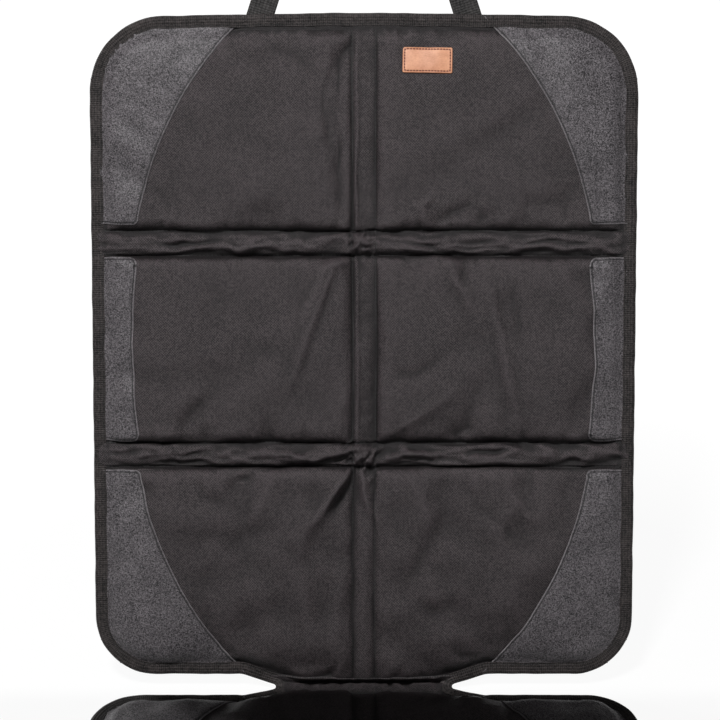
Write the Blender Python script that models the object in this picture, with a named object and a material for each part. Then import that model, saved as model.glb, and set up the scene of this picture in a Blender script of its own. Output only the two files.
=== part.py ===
# Car seat protector: a quilted mat that covers a car seat, with its back section hung from the
# headrest by a webbing loop. Metres, +Z up. The seat section lies flat and runs to -Y, the back
# section rises behind it, and the front of the mat looks to -Y.
#
# Every piece is drawn on the flat pattern first: u runs across the mat, v along it from the seat
# to the back, and h is the height above the underside. The last step folds the pattern at the
# crease, so that all layers turn through the same arc.
import math

import bmesh
import bpy
import numpy as np
from mathutils import Vector

# Outline of the mat, over the edge binding
MAT_WIDTH = 0.480
BACK_SIDE_HEIGHT = 0.597      # from the crease to the top edge, at the sides
TOP_ARCH = 0.004              # rise of the top edge at the middle
BACK_EDGE_RISE = 0.014        # from the crease to the bottom edge of the back section
SEAT_DEPTH = 0.480            # from the crease to the front edge
SEAT_EDGE_SETBACK = 0.015     # from the crease to the rear edge of the seat section
TOP_CORNER_RADIUS = 0.066
BACK_CORNER_RADIUS = 0.053
SEAT_REAR_CORNER_RADIUS = 0.045
SEAT_FRONT_CORNER_RADIUS = 0.060
TOP_ARCH_RADIUS = 2.0

# Notches at both sides of the neck that joins the two sections
NECK_WIDTH = 0.158
NOTCH_DEPTH = 0.036           # from the notch's tip out to where the edges run straight
NOTCH_TIP_RADIUS = 0.003
NOTCH_MOUTH_RADIUS = 0.025

# The fold at the crease
FOLD_RADIUS = 0.018
RECLINE = math.radians(20.0)  # the back section leans back by this much
FOLD_STEPS = 8

# Layers, from the underside up
BINDING_THICKNESS = 0.0008
BACKING_THICKNESS = 0.0006
BOARD_THICKNESS = 0.0050
CLOTH_THICKNESS = 0.0006
PATCH_THICKNESS = 0.0006
LABEL_THICKNESS = 0.0012
LAYER_GAP = 0.0003

# Edge binding, a tape folded over the rim
BINDING_WIDTH = 0.0110
BINDING_FOLD_CHAMFER = 0.0009

# Quilting of the cover
BORDER = 0.0125               # flat rim, from the outline to the first seam
SHOULDER = 0.014              # from a seam up to the top of a pad
SHOULDER_MIDDLE = 0.0055
BAND = 0.0215                 # slack band between two seams, where the mat folds up
COLUMN = 0.0210               # slack column along the middle
CROWN = 0.0015                # extra rise at the middle of a pad
RIDGE = 0.0042                # rise of the slack bands and the column
NECK_RIDGE = 0.0028
RIDGE_SLACK = 0.0009          # how much a ridge rises and falls along its length
RIDGE_WAVE = 0.061            # length of that wave
BACK_BOTTOM_PAD = 0.188
BACK_MIDDLE_PAD = 0.166
BOARD_CORNER_RADIUS = 0.012

# Leather-look patches: how far in they reach at the outer and inner end of their seams
PATCH_SEAM_OUT = 0.0985
PATCH_SEAM_MIDDLE = 0.165
PATCH_SEAM_IN = 0.197
PATCH_BAND_MARGIN = 0.006     # from a band's seam to the patch's straight edge
PATCH_CORNER_RADIUS = 0.007
SIDE_PATCH_MARGIN = 0.002
SIDE_PATCH_HOLLOW = 0.0055

# Leather label
LABEL_WIDTH = 0.0425
LABEL_HEIGHT = 0.0220
LABEL_ACROSS = 0.0553
LABEL_BELOW_TOP = 0.0420
LABEL_CORNER_RADIUS = 0.0018
LABEL_TURN = math.radians(-1.2)

# Headrest strap, one length of webbing
WEBBING_WIDTH = 0.0235
WEBBING_THICKNESS = 0.0013
STRAP_HALF_SPREAD = 0.0900     # from the middle to each end, at the top edge
STRAP_OVERLAP = 0.032         # length sewn behind the top edge
STRAP_LEAN = math.radians(18.0)
STRAP_RISE = 0.125            # from the top edge to the crown of the loop
STRAP_TWIST_START = 0.006
STRAP_TWIST_LENGTH = 0.060

# Places along the pattern that follow from the sizes above
FOLD_ANGLE = math.pi / 2 - RECLINE
FOLD_LENGTH = FOLD_RADIUS * FOLD_ANGLE
CREASE_ALLOWANCE = FOLD_RADIUS * math.tan(FOLD_ANGLE / 2)
BACK_ZERO = FOLD_LENGTH - CREASE_ALLOWANCE
HALF_WIDTH = MAT_WIDTH / 2
HALF_COLUMN = COLUMN / 2
SEAT_FRONT = CREASE_ALLOWANCE - SEAT_DEPTH
SEAT_REAR = CREASE_ALLOWANCE - SEAT_EDGE_SETBACK
BACK_BOTTOM = BACK_ZERO + BACK_EDGE_RISE
BACK_TOP = BACK_ZERO + BACK_SIDE_HEIGHT
BAND_LOW = BACK_BOTTOM + BACK_BOTTOM_PAD
BAND_HIGH = BAND_LOW + BAND + BACK_MIDDLE_PAD
SEAT_BAND = (SEAT_FRONT + SEAT_REAR - BAND) / 2

# Heights of the layers
BACKING_BASE = BINDING_THICKNESS + LAYER_GAP
BOARD_BASE = BACKING_BASE + BACKING_THICKNESS + LAYER_GAP
CLOTH_BASE = BOARD_BASE
LOFT = BOARD_THICKNESS + LAYER_GAP
PATCH_LIFT = CLOTH_THICKNESS + LAYER_GAP
BINDING_HEIGHT = CLOTH_BASE + PATCH_LIFT + PATCH_THICKNESS + LAYER_GAP + BINDING_THICKNESS
CLOTH_EDGE = BINDING_THICKNESS + LAYER_GAP

# Zones across and along the pattern: start, end, and whether a pad or a ridge fills it
ACROSS = (
    (-HALF_WIDTH + BORDER, -HALF_COLUMN, "pad"),
    (-HALF_COLUMN, HALF_COLUMN, "ridge"),
    (HALF_COLUMN, HALF_WIDTH - BORDER, "pad"),
)
ALONG = (
    (SEAT_FRONT + BORDER, SEAT_BAND, "pad"),
    (SEAT_BAND, SEAT_BAND + BAND, "ridge"),
    (SEAT_BAND + BAND, 0.0, "pad"),
    (0.0, FOLD_LENGTH, "neck"),
    (FOLD_LENGTH, BAND_LOW, "pad"),
    (BAND_LOW, BAND_LOW + BAND, "ridge"),
    (BAND_LOW + BAND, BAND_HIGH, "pad"),
    (BAND_HIGH, BAND_HIGH + BAND, "ridge"),
    (BAND_HIGH + BAND, BACK_TOP + TOP_ARCH - BORDER, "pad"),
)
RIDGE_HEIGHTS = {"ridge": RIDGE, "neck": NECK_RIDGE}


# Outlines

def rounded(corners, inset=0.0, step=math.radians(11.25)):
    """Closed outline with rounded corners, set in by an even distance.

    corners holds (u, v, radius) anticlockwise. A hollow corner's radius grows with the inset.
    """
    points = []
    count = len(corners)
    for index in range(count):
        before = Vector(corners[index - 1][:2])
        here = Vector(corners[index][:2])
        after = Vector(corners[(index + 1) % count][:2])
        way_in = (here - before).normalized()
        way_out = (after - here).normalized()
        turn = math.atan2(way_in.cross(way_out), way_in.dot(way_out))
        normal_in = Vector((-way_in.y, way_in.x))
        normal_out = Vector((-way_out.y, way_out.x))
        miter = (normal_in + normal_out) / (1 + normal_in.dot(normal_out))
        corner = here + miter * inset
        grown = corners[index][2] - inset * math.copysign(1, turn)
        radius = max(grown, 0.0015) if corners[index][2] > 0 else 0.0
        if radius == 0:
            points.append(corner)
            continue
        reach = radius * math.tan(abs(turn) / 2)
        centre = corner - way_in * reach + normal_in * math.copysign(radius, turn)
        spoke = corner - way_in * reach - centre
        steps = max(2, math.ceil(abs(turn) / step))
        for k in range(steps + 1):
            angle = turn * k / steps
            cos, sin = math.cos(angle), math.sin(angle)
            turned = Vector((spoke.x * cos - spoke.y * sin, spoke.x * sin + spoke.y * cos))
            points.append(centre + turned)
    return points


def mat_corners():
    """Corners of the mat's outline, anticlockwise from the front right."""
    tilt = math.atan2((BACK_BOTTOM - SEAT_REAR) / 2, NOTCH_DEPTH)
    tip = NECK_WIDTH / 2 - NOTCH_TIP_RADIUS * (1 / math.sin(tilt) - 1)
    mouth = tip + NOTCH_DEPTH
    right = [
        (HALF_WIDTH, SEAT_FRONT, SEAT_FRONT_CORNER_RADIUS),
        (HALF_WIDTH, SEAT_REAR, SEAT_REAR_CORNER_RADIUS),
        (mouth, SEAT_REAR, NOTCH_MOUTH_RADIUS),
        (tip, (SEAT_REAR + BACK_BOTTOM) / 2, NOTCH_TIP_RADIUS),
        (mouth, BACK_BOTTOM, NOTCH_MOUTH_RADIUS),
        (HALF_WIDTH, BACK_BOTTOM, BACK_CORNER_RADIUS),
        (HALF_WIDTH, BACK_TOP, TOP_CORNER_RADIUS),
    ]
    left = [(-u, v, radius) for u, v, radius in reversed(right)]
    return right + [(0.0, BACK_TOP + TOP_ARCH, TOP_ARCH_RADIUS)] + left


def arc_through(start, middle, end, steps=10):
    """Points of the circle's arc from start through middle to end."""
    a, b, c = (complex(*point) for point in (start, middle, end))
    ratio = (c - a) / (b - a)
    centre = (b - a) * (ratio - abs(ratio) ** 2) / (2j * ratio.imag) + a
    spoke = a - centre
    swing = np.angle((c - centre) / spoke)
    spokes = [spoke * np.exp(1j * swing * k / steps) for k in range(steps + 1)]
    return [(centre + spoke).real for spoke in spokes], [(centre + spoke).imag for spoke in spokes]


def distance_inside(points, outline):
    """Distance from each point to the outline, as an array."""
    spots = np.array(points)[:, None, :]
    starts = np.array(outline)
    edges = np.roll(starts, -1, axis=0) - starts
    along = ((spots - starts) * edges).sum(axis=2) / (edges ** 2).sum(axis=1)
    nearest = starts + np.clip(along, 0, 1)[..., None] * edges
    return np.linalg.norm(spots - nearest, axis=2).min(axis=1)


# Heights of the quilted cover

def pad_rise(inset):
    """Rise of a pad's rounded shoulder at a distance in from its seam."""
    return LOFT * math.sin(math.pi / 2 * min(max(inset / SHOULDER, 0), 1))


def zone_at(place, zones):
    """The zone that holds a place, or None on the flat rim."""
    for zone in zones:
        if zone[0] <= place <= zone[1]:
            return zone
    return None


def zone_rise(place, zones, along_seam):
    """Rise of the cover at a place in one direction."""
    zone = zone_at(place, zones)
    if zone is None:
        return 0.0
    start, end, kind = zone
    if kind == "pad":
        return pad_rise(min(place - start, end - place))
    wave = RIDGE_SLACK * math.sin(2 * math.pi * along_seam / RIDGE_WAVE)
    return (RIDGE_HEIGHTS[kind] + wave) * math.sin(math.pi * (place - start) / (end - start))


def crown(place, zones):
    """Share of the crown's rise, from 0 at a pad's shoulder to 1 at its middle."""
    zone = zone_at(place, zones)
    if zone is None or zone[2] != "pad":
        return 0.0
    half = (zone[1] - zone[0]) / 2
    offset = abs(place - (zone[0] + zone[1]) / 2)
    return max(0.0, 1 - (offset / (half - SHOULDER)) ** 2)


def cover_rise(u, v, inside):
    """Rise of the cover above the flat rim."""
    low = min(zone_rise(u, ACROSS, v), zone_rise(v, ALONG, u), pad_rise(inside - BORDER))
    if inside < BORDER + SHOULDER:
        return low
    return low + CROWN * crown(u, ACROSS) * crown(v, ALONG)


# Mesh helpers

def new_object(name, bm, material=None):
    """Object from a bmesh, in the parts' collection."""
    mesh = bpy.data.meshes.new(name)
    bm.to_mesh(mesh)
    bm.free()
    obj = bpy.data.objects.new(name, mesh)
    parts.objects.link(obj)
    if material:
        mesh.materials.append(material)
    return obj


def prism(name, outline, low, high, material=None):
    """Upright solid over an outline."""
    bm = bmesh.new()
    face = bm.faces.new([bm.verts.new((u, v, low)) for u, v in outline])
    top = bmesh.ops.extrude_face_region(bm, geom=[face])["geom"]
    raised = [item for item in top if isinstance(item, bmesh.types.BMVert)]
    bmesh.ops.translate(bm, verts=raised, vec=(0, 0, high - low))
    bmesh.ops.recalc_face_normals(bm, faces=bm.faces)
    return new_object(name, bm, material)


def split_at(bm, axis, places):
    """Cut all faces along lines across the pattern, and keep both sides."""
    normal = Vector((axis == "u", axis == "v", 0))
    for place in places:
        geom = bm.verts[:] + bm.edges[:] + bm.faces[:]
        bmesh.ops.bisect_plane(bm, geom=geom, dist=2e-6, plane_co=normal * place, plane_no=normal)


def keep_common(obj, cutter):
    """Keep what obj and cutter share, and remove the cutter."""
    modifier = obj.modifiers.new("common", "BOOLEAN")
    modifier.operation = "INTERSECT"
    modifier.solver = "EXACT"
    modifier.object = cutter
    graph = bpy.context.evaluated_depsgraph_get()
    shared = bpy.data.meshes.new_from_object(obj.evaluated_get(graph))
    obj.modifiers.clear()
    obj.data = shared
    bpy.data.objects.remove(cutter)


def curve_mesh(curve, section, material, name):
    """Solid swept along a curve with a section, as a mesh object."""
    path = bpy.data.objects.new(name + "_path", curve)
    profile = bpy.data.objects.new(name + "_section", section)
    parts.objects.link(path)
    parts.objects.link(profile)
    curve.bevel_mode = "OBJECT"
    curve.bevel_object = profile
    graph = bpy.context.evaluated_depsgraph_get()
    mesh = bpy.data.meshes.new_from_object(path.evaluated_get(graph))
    bm = bmesh.new()
    bm.from_mesh(mesh)
    bmesh.ops.remove_doubles(bm, verts=bm.verts, dist=1e-6)
    bmesh.ops.recalc_face_normals(bm, faces=bm.faces)
    bpy.data.objects.remove(path)
    bpy.data.objects.remove(profile)
    return new_object(name, bm, material)


def flat_curve(name, points, cyclic=True, dimensions="2D"):
    """Curve through points of the pattern."""
    curve = bpy.data.curves.new(name, "CURVE")
    curve.dimensions = dimensions
    curve.fill_mode = "FULL" if dimensions == "3D" else "NONE"
    spline = curve.splines.new("POLY")
    spline.points.add(len(points) - 1)
    for target, point in zip(spline.points, points):
        target.co = (*point, *([0.0] * (3 - len(point))), 1.0)
    spline.use_cyclic_u = cyclic
    return curve


def material(name, colour, roughness):
    """Plain material in a display colour."""
    made = bpy.data.materials.new(name)
    made.use_nodes = True
    shader = made.node_tree.nodes["Principled BSDF"]
    shader.inputs["Base Color"].default_value = (*colour, 1.0)
    shader.inputs["Roughness"].default_value = roughness
    shader.inputs["Metallic"].default_value = 0.0
    made.diffuse_color = (*colour, 1.0)
    return made


# Pieces

def cover_sheet():
    """The quilted cover as one open sheet of triangles, from which the upper layers are made."""
    bm = bmesh.new()
    insets = (CLOTH_EDGE, BORDER, BORDER + SHOULDER_MIDDLE, BORDER + SHOULDER)
    rings = [[bm.verts.new((u, v, 0)) for u, v in rounded(mat_corners(), inset)] for inset in insets]
    for outer, inner in zip(rings, rings[1:]):
        for k in range(len(outer)):
            bm.faces.new((outer[k - 1], outer[k], inner[k], inner[k - 1]))
    bm.faces.new(rings[-1])
    lines_across = [0.0]
    for side in (-1, 1):
        half = HALF_COLUMN
        pad_middle = (half + HALF_WIDTH - BORDER) / 2
        places = (half, half + SHOULDER_MIDDLE, half + SHOULDER, pad_middle / 2, pad_middle, pad_middle * 1.5)
        lines_across += [side * place for place in places]
    lines_along = [FOLD_LENGTH * k / FOLD_STEPS for k in range(FOLD_STEPS + 1)]
    for start, end, kind in ALONG:
        if kind == "neck":
            continue
        if start > SEAT_FRONT + BORDER:
            lines_along.append(start)
        if kind == "ridge":
            lines_along.append((start + end) / 2)
            lines_along.append(end)
            continue
        lines_along.append((start + end) / 2)
        if start > SEAT_FRONT + BORDER:
            lines_along += [start + SHOULDER_MIDDLE, start + SHOULDER]
        if end < BACK_TOP - BORDER:
            lines_along += [end - SHOULDER_MIDDLE, end - SHOULDER]
    split_at(bm, "v", sorted(set(lines_along)))
    split_at(bm, "u", sorted(lines_across))
    bmesh.ops.triangulate(bm, faces=bm.faces)
    places = [vert.co.to_2d() for vert in bm.verts]
    insides = distance_inside(places, rounded(mat_corners()))
    for vert, inside in zip(bm.verts, insides):
        vert.co.z = CLOTH_BASE + cover_rise(vert.co.x, vert.co.y, inside)
    return bm


def layer(name, lift, thickness, look):
    """Solid layer that follows the quilted cover at a height above it."""
    bm = sheet.copy()
    bmesh.ops.translate(bm, verts=bm.verts, vec=(0, 0, lift))
    grown = bmesh.ops.extrude_face_region(bm, geom=bm.faces[:])["geom"]
    raised = [item for item in grown if isinstance(item, bmesh.types.BMVert)]
    bmesh.ops.translate(bm, verts=raised, vec=(0, 0, thickness))
    bmesh.ops.recalc_face_normals(bm, faces=bm.faces)
    return new_object(name, bm, look)


def make_backing():
    """Plain cloth of the underside."""
    backing = prism("backing_cloth", rounded(mat_corners(), CLOTH_EDGE), BACKING_BASE,
                    BACKING_BASE + BACKING_THICKNESS, looks["backing"])
    bm = bmesh.new()
    bm.from_mesh(backing.data)
    split_at(bm, "v", [FOLD_LENGTH * k / FOLD_STEPS for k in range(FOLD_STEPS + 1)])
    bm.to_mesh(backing.data)
    bm.free()


def make_boards():
    """Foam board in each pad, rounded where the mat's corners are round."""
    rows = (
        ("seat_front", SEAT_FRONT, SEAT_BAND - SHOULDER - LAYER_GAP),
        ("seat_rear", SEAT_BAND + BAND + SHOULDER + LAYER_GAP, SEAT_REAR),
        ("back_bottom", BACK_BOTTOM, BAND_LOW - SHOULDER - LAYER_GAP),
        ("back_middle", BAND_LOW + BAND + SHOULDER + LAYER_GAP, BAND_HIGH - SHOULDER - LAYER_GAP),
        ("back_top", BAND_HIGH + BAND + SHOULDER + LAYER_GAP, BACK_TOP + TOP_ARCH),
    )
    rim = BORDER + SHOULDER + LAYER_GAP
    inner = HALF_COLUMN + SHOULDER + LAYER_GAP
    outer = HALF_WIDTH - rim
    for row, low, high in rows:
        low = low + rim if row in ("seat_front", "back_bottom") else low
        high = high - rim if row == "seat_rear" else high
        high = high - rim - TOP_ARCH if row == "back_top" else high
        for side, sign in (("left", -1), ("right", 1)):
            left, right = sorted((sign * inner, sign * outer))
            corners = [(u, v, BOARD_CORNER_RADIUS) for u, v in
                       ((left, low), (right, low), (right, high), (left, high))]
            board = prism(f"foam_{row}_{side}", rounded(corners), BOARD_BASE,
                          BOARD_BASE + BOARD_THICKNESS, looks["foam"])
            keep_common(board, prism("rim", rounded(mat_corners(), rim), 0, 3 * BINDING_HEIGHT))


def corner_patch_outline(edge, inner_edge):
    """Outline of the patch at a right-hand corner, from the mat's edge to the band next to it."""
    way = math.copysign(1, inner_edge - edge)
    length = abs(inner_edge - edge)
    start = (PATCH_SEAM_OUT, edge - way * 0.006)
    middle = (PATCH_SEAM_MIDDLE, edge + way * length * 0.465)
    end = (PATCH_SEAM_IN, inner_edge - way * PATCH_CORNER_RADIUS)
    across, along = arc_through(start, middle, end)
    corners = [(u, v, 0.0) for u, v in zip(across, along)]
    corners.append((PATCH_SEAM_IN + 0.0005, inner_edge, PATCH_CORNER_RADIUS * 0.8))
    corners.append((HALF_WIDTH + BORDER, inner_edge, 0.0))
    corners.append((HALF_WIDTH + BORDER, edge - way * 0.006, 0.0))
    return corners if way < 0 else corners[::-1]


def side_patch_outline():
    """Outline of the patch at the right-hand side of the middle row."""
    low = BAND_LOW + BAND + SIDE_PATCH_MARGIN
    high = BAND_HIGH - SIDE_PATCH_MARGIN
    edge_in = PATCH_SEAM_IN
    hollow = edge_in + SIDE_PATCH_HOLLOW
    across, along = arc_through((edge_in, high), (hollow, (low + high) / 2), (edge_in, low))
    corners = [(u, v, 0.0) for u, v in zip(across, along)]
    corners[0] = (edge_in, high, PATCH_CORNER_RADIUS)
    corners[-1] = (edge_in, low, PATCH_CORNER_RADIUS)
    outer = HALF_WIDTH + BORDER
    return corners + [(outer, low, 0.0), (outer, high, 0.0)]


def make_patches():
    """Leather-look patches sewn over the corners and the sides."""
    margin = PATCH_BAND_MARGIN
    outlines = {
        "back_top": corner_patch_outline(BACK_TOP, BAND_HIGH + BAND + margin),
        "back_middle": side_patch_outline(),
        "back_bottom": corner_patch_outline(BACK_BOTTOM, BAND_LOW - margin / 2),
        "seat_rear": corner_patch_outline(SEAT_REAR, SEAT_BAND + BAND + margin),
        "seat_front": corner_patch_outline(SEAT_FRONT, SEAT_BAND - margin),
    }
    for place, corners in outlines.items():
        right = rounded(corners)
        left = [(-u, v) for u, v in reversed(right)]
        for side, outline in (("left", left), ("right", right)):
            patch = layer(f"patch_{place}_{side}", PATCH_LIFT, PATCH_THICKNESS, looks["patch"])
            keep_common(patch, prism("seam", outline, 0, 6 * BINDING_HEIGHT))


def make_label():
    """Small leather label sewn on the upper right pad."""
    half_width, half_height = LABEL_WIDTH / 2, LABEL_HEIGHT / 2
    cos, sin = math.cos(LABEL_TURN), math.sin(LABEL_TURN)
    middle = Vector((LABEL_ACROSS, BACK_TOP + TOP_ARCH - LABEL_BELOW_TOP))
    corners = []
    for u, v in ((-1, -1), (1, -1), (1, 1), (-1, 1)):
        u, v = u * half_width, v * half_height
        corners.append((middle.x + u * cos - v * sin, middle.y + u * sin + v * cos, LABEL_CORNER_RADIUS))
    label = layer("leather_label", PATCH_LIFT, LABEL_THICKNESS, looks["label"])
    keep_common(label, prism("label_outline", rounded(corners, step=math.radians(30)), 0,
                             6 * BINDING_HEIGHT))


def make_binding():
    """Tape folded over the whole rim."""
    wide, thick, high, bevel = BINDING_WIDTH, BINDING_THICKNESS, BINDING_HEIGHT, BINDING_FOLD_CHAMFER
    section = [(wide, 0), (bevel, 0), (0, bevel), (0, high - bevel), (bevel, high), (wide, high),
               (wide, high - thick), (thick, high - thick), (thick, thick), (wide, thick)]
    path = flat_curve("rim", rounded(mat_corners()))
    tape = curve_mesh(path, flat_curve("tape", section), looks["binding"], "edge_binding")
    bm = bmesh.new()
    bm.from_mesh(tape.data)
    split_at(bm, "v", [FOLD_LENGTH * k / FOLD_STEPS for k in range(FOLD_STEPS + 1)])
    bmesh.ops.triangulate(bm, faces=bm.faces)
    bm.to_mesh(tape.data)
    bm.free()


def strap_half():
    """Right half of the strap's route: (u, v, turn of the webbing), from its end to the crown."""
    top = BACK_TOP + TOP_ARCH
    lean = math.tan(STRAP_LEAN)
    stations = []
    leg = STRAP_RISE * 0.45
    for k in range(4):
        rise = -STRAP_OVERLAP + (STRAP_OVERLAP + STRAP_TWIST_START) * k / 3
        stations.append((STRAP_HALF_SPREAD - rise * lean, top + rise))
    start = Vector((STRAP_HALF_SPREAD - leg * lean, top + leg))
    rise_left = STRAP_RISE - leg
    handle = start + Vector((-math.sin(STRAP_LEAN), math.cos(STRAP_LEAN))) * rise_left * 0.75
    crown_at = Vector((0, top + STRAP_RISE))
    for k in range(1, 5):
        rise = STRAP_TWIST_START + (leg - STRAP_TWIST_START) * k / 5
        stations.append((STRAP_HALF_SPREAD - rise * lean, top + rise))
    for k in range(9):
        t = k / 8
        near = start.lerp(handle, t)
        far = handle.lerp(Vector((start.x * 0.62, crown_at.y)), t)
        last = Vector((start.x * 0.62, crown_at.y)).lerp(crown_at, t)
        stations.append(tuple(near.lerp(far, t).lerp(far.lerp(last, t), t)))
    route = []
    length = 0.0
    for k, (u, v) in enumerate(stations):
        if k:
            length += math.dist(stations[k - 1], (u, v))
        done = (length - STRAP_OVERLAP / math.cos(STRAP_LEAN) - STRAP_TWIST_START) / STRAP_TWIST_LENGTH
        done = min(max(done, 0.0), 1.0)
        route.append((u, v, math.pi / 2 * done * done * (3 - 2 * done)))
    return route


def make_strap():
    """Loop of webbing that goes over the headrest, with a quarter turn in each leg."""
    half = strap_half()
    route = half[:-1] + [(-u, v, math.pi - turn) for u, v, turn in reversed(half)]
    height = -LAYER_GAP - WEBBING_THICKNESS / 2
    path = flat_curve("route", [(u, v, height) for u, v, _ in route], cyclic=False, dimensions="3D")
    path.twist_mode = "Z_UP"
    path.use_fill_caps = True
    for point, (_, _, turn) in zip(path.splines[0].points, route):
        point.tilt = turn
    wide, thick = WEBBING_WIDTH / 2, WEBBING_THICKNESS / 2
    section = [(-wide, -thick), (wide, -thick), (wide, thick), (-wide, thick)]
    strap = curve_mesh(path, flat_curve("webbing", section), looks["webbing"], "headrest_strap")
    bm = bmesh.new()
    bm.from_mesh(strap.data)
    bmesh.ops.triangulate(bm, faces=bm.faces)
    bm.to_mesh(strap.data)
    bm.free()


# Folding the pattern and placing the part

def fold(point):
    """Place of a point of the pattern once the mat is folded at the crease."""
    u, v, h = point
    if v <= 0:
        return Vector((u, v, h))
    angle = min(v, FOLD_LENGTH) / FOLD_RADIUS
    beyond = max(v - FOLD_LENGTH, 0)
    radius = FOLD_RADIUS - h
    y = radius * math.sin(angle) + beyond * math.cos(angle)
    z = FOLD_RADIUS - radius * math.cos(angle) + beyond * math.sin(angle)
    return Vector((u, y, z))


def fold_all():
    """Fold every piece, and put the middle of the part's footprint at the origin."""
    for obj in parts.objects:
        for vert in obj.data.vertices:
            vert.co = fold(vert.co)
    spots = [vert.co for obj in parts.objects for vert in obj.data.vertices]
    middle = [(min(spot[k] for spot in spots) + max(spot[k] for spot in spots)) / 2 for k in (0, 1)]
    base = min(spot.z for spot in spots)
    shift = Vector((middle[0], middle[1], base))
    for obj in parts.objects:
        for vert in obj.data.vertices:
            vert.co -= shift
        obj.data.update()


for old in list(bpy.data.objects):
    bpy.data.objects.remove(old)
parts = bpy.data.collections.new("car_seat_protector")
bpy.context.scene.collection.children.link(parts)
looks = {
    "cloth": material("cloth", (0.045, 0.040, 0.042), 0.75),
    "backing": material("backing", (0.020, 0.020, 0.021), 0.8),
    "foam": material("foam", (0.55, 0.55, 0.53), 0.9),
    "patch": material("patch", (0.095, 0.091, 0.105), 0.55),
    "binding": material("binding", (0.030, 0.029, 0.027), 0.7),
    "webbing": material("webbing", (0.024, 0.023, 0.023), 0.7),
    "label": material("label", (0.66, 0.30, 0.14), 0.55),
}
sheet = cover_sheet()
layer("front_cloth", 0.0, CLOTH_THICKNESS, looks["cloth"])
make_backing()
make_boards()
make_patches()
make_label()
make_binding()
make_strap()
sheet.free()
fold_all()
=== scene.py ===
# Looks of the car seat protector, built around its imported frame. Metres, +Z up.
#
# As in the part's own source, each soft piece is drawn on the flat pattern first: u runs across
# the mat, v along it from the seat to the back, and h is the height above the underside. The
# cover gets its seams and folds there and is swelled by a short cloth simulation, the patches,
# label and threads are laid on it, and the pattern is folded at the crease at the end.
import math

import bmesh
import bpy
import numpy as np
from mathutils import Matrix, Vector


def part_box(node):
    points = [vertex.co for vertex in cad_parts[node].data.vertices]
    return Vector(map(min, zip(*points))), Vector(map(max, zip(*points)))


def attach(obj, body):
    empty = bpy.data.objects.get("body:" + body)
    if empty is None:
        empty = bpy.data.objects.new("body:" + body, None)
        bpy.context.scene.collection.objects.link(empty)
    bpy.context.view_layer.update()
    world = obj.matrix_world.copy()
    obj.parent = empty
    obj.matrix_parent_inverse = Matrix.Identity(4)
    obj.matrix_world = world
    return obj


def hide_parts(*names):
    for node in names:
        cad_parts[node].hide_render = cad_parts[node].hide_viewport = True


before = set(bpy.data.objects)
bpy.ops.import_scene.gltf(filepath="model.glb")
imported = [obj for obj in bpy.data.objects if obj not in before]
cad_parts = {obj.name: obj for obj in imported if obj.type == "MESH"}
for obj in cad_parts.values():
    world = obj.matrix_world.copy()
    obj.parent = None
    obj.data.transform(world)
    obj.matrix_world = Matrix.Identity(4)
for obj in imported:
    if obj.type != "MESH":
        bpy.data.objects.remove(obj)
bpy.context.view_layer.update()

rim_low, rim_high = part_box("edge_binding")

# Outline of the mat, as in the part
MAT_WIDTH = rim_high.x - rim_low.x
BACK_SIDE_HEIGHT = 0.597
TOP_ARCH = 0.004
BACK_EDGE_RISE = 0.014
SEAT_DEPTH = 0.480
SEAT_EDGE_SETBACK = 0.015
TOP_CORNER_RADIUS = 0.066
BACK_CORNER_RADIUS = 0.053
SEAT_REAR_CORNER_RADIUS = 0.045
SEAT_FRONT_CORNER_RADIUS = 0.060
TOP_ARCH_RADIUS = 2.0
NECK_WIDTH = 0.158
NOTCH_DEPTH = 0.036
NOTCH_TIP_RADIUS = 0.003
NOTCH_MOUTH_RADIUS = 0.025

# The fold at the crease
FOLD_RADIUS = 0.018
FOLD_ANGLE = math.radians(70.0)

# Heights of the layers above the underside
BACKING_BASE = 0.0011
BACKING_THICKNESS = 0.0006
BOARD_BASE = 0.0020
CLOTH_THICKNESS = 0.0006
CLOTH_TOP = BOARD_BASE + CLOTH_THICKNESS
LOFT = 0.0053
BINDING_HEIGHT = 0.0046

# How far inside the mat's rim the sheets end, under the edge tape
COVER_CUT = 0.0028
BACKING_CUT = 0.0030
PANEL_CUT = 0.0026

# Quilting of the cover
BORDER = 0.0125
SHOULDER = 0.014
BAND = 0.0215
HALF_COLUMN = 0.0105
CROWN = 0.0015
FULLNESS = 0.0028             # how much fuller the pads are than their boards
BAND_ROLL = 0.0044            # mean rise of the slack bands
COLUMN_ROLL = 0.0008
SEAM_SHARPNESS = 3.0
RIM_SHARPNESS = 2.0
BACK_BOTTOM_PAD = 0.188
BACK_MIDDLE_PAD = 0.166

# Rolls of the neck, at shares of the way through the fold
NECK_PLACES = (0.0, 0.15, 0.30, 0.45, 0.54, 0.60, 0.67, 0.74, 0.80, 0.88, 1.0)
NECK_HEIGHTS = (0.0, 0.0020, 0.0036, 0.0048, 0.0048, 0.0036, 0.0004, 0.0036, 0.0052, 0.0058, 0.0057)

# Places along the pattern
FOLD_LENGTH = FOLD_RADIUS * FOLD_ANGLE
CREASE_ALLOWANCE = FOLD_RADIUS * math.tan(FOLD_ANGLE / 2)
BACK_ZERO = FOLD_LENGTH - CREASE_ALLOWANCE
HALF_WIDTH = MAT_WIDTH / 2
SEAT_FRONT = CREASE_ALLOWANCE - SEAT_DEPTH
SEAT_REAR = CREASE_ALLOWANCE - SEAT_EDGE_SETBACK
BACK_BOTTOM = BACK_ZERO + BACK_EDGE_RISE
BACK_TOP = BACK_ZERO + BACK_SIDE_HEIGHT
BAND_LOW = BACK_BOTTOM + BACK_BOTTOM_PAD
BAND_HIGH = BAND_LOW + BAND + BACK_MIDDLE_PAD
SEAT_BAND = (SEAT_FRONT + SEAT_REAR - BAND) / 2
PATTERN_TO_Y = rim_low.y - SEAT_FRONT

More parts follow.
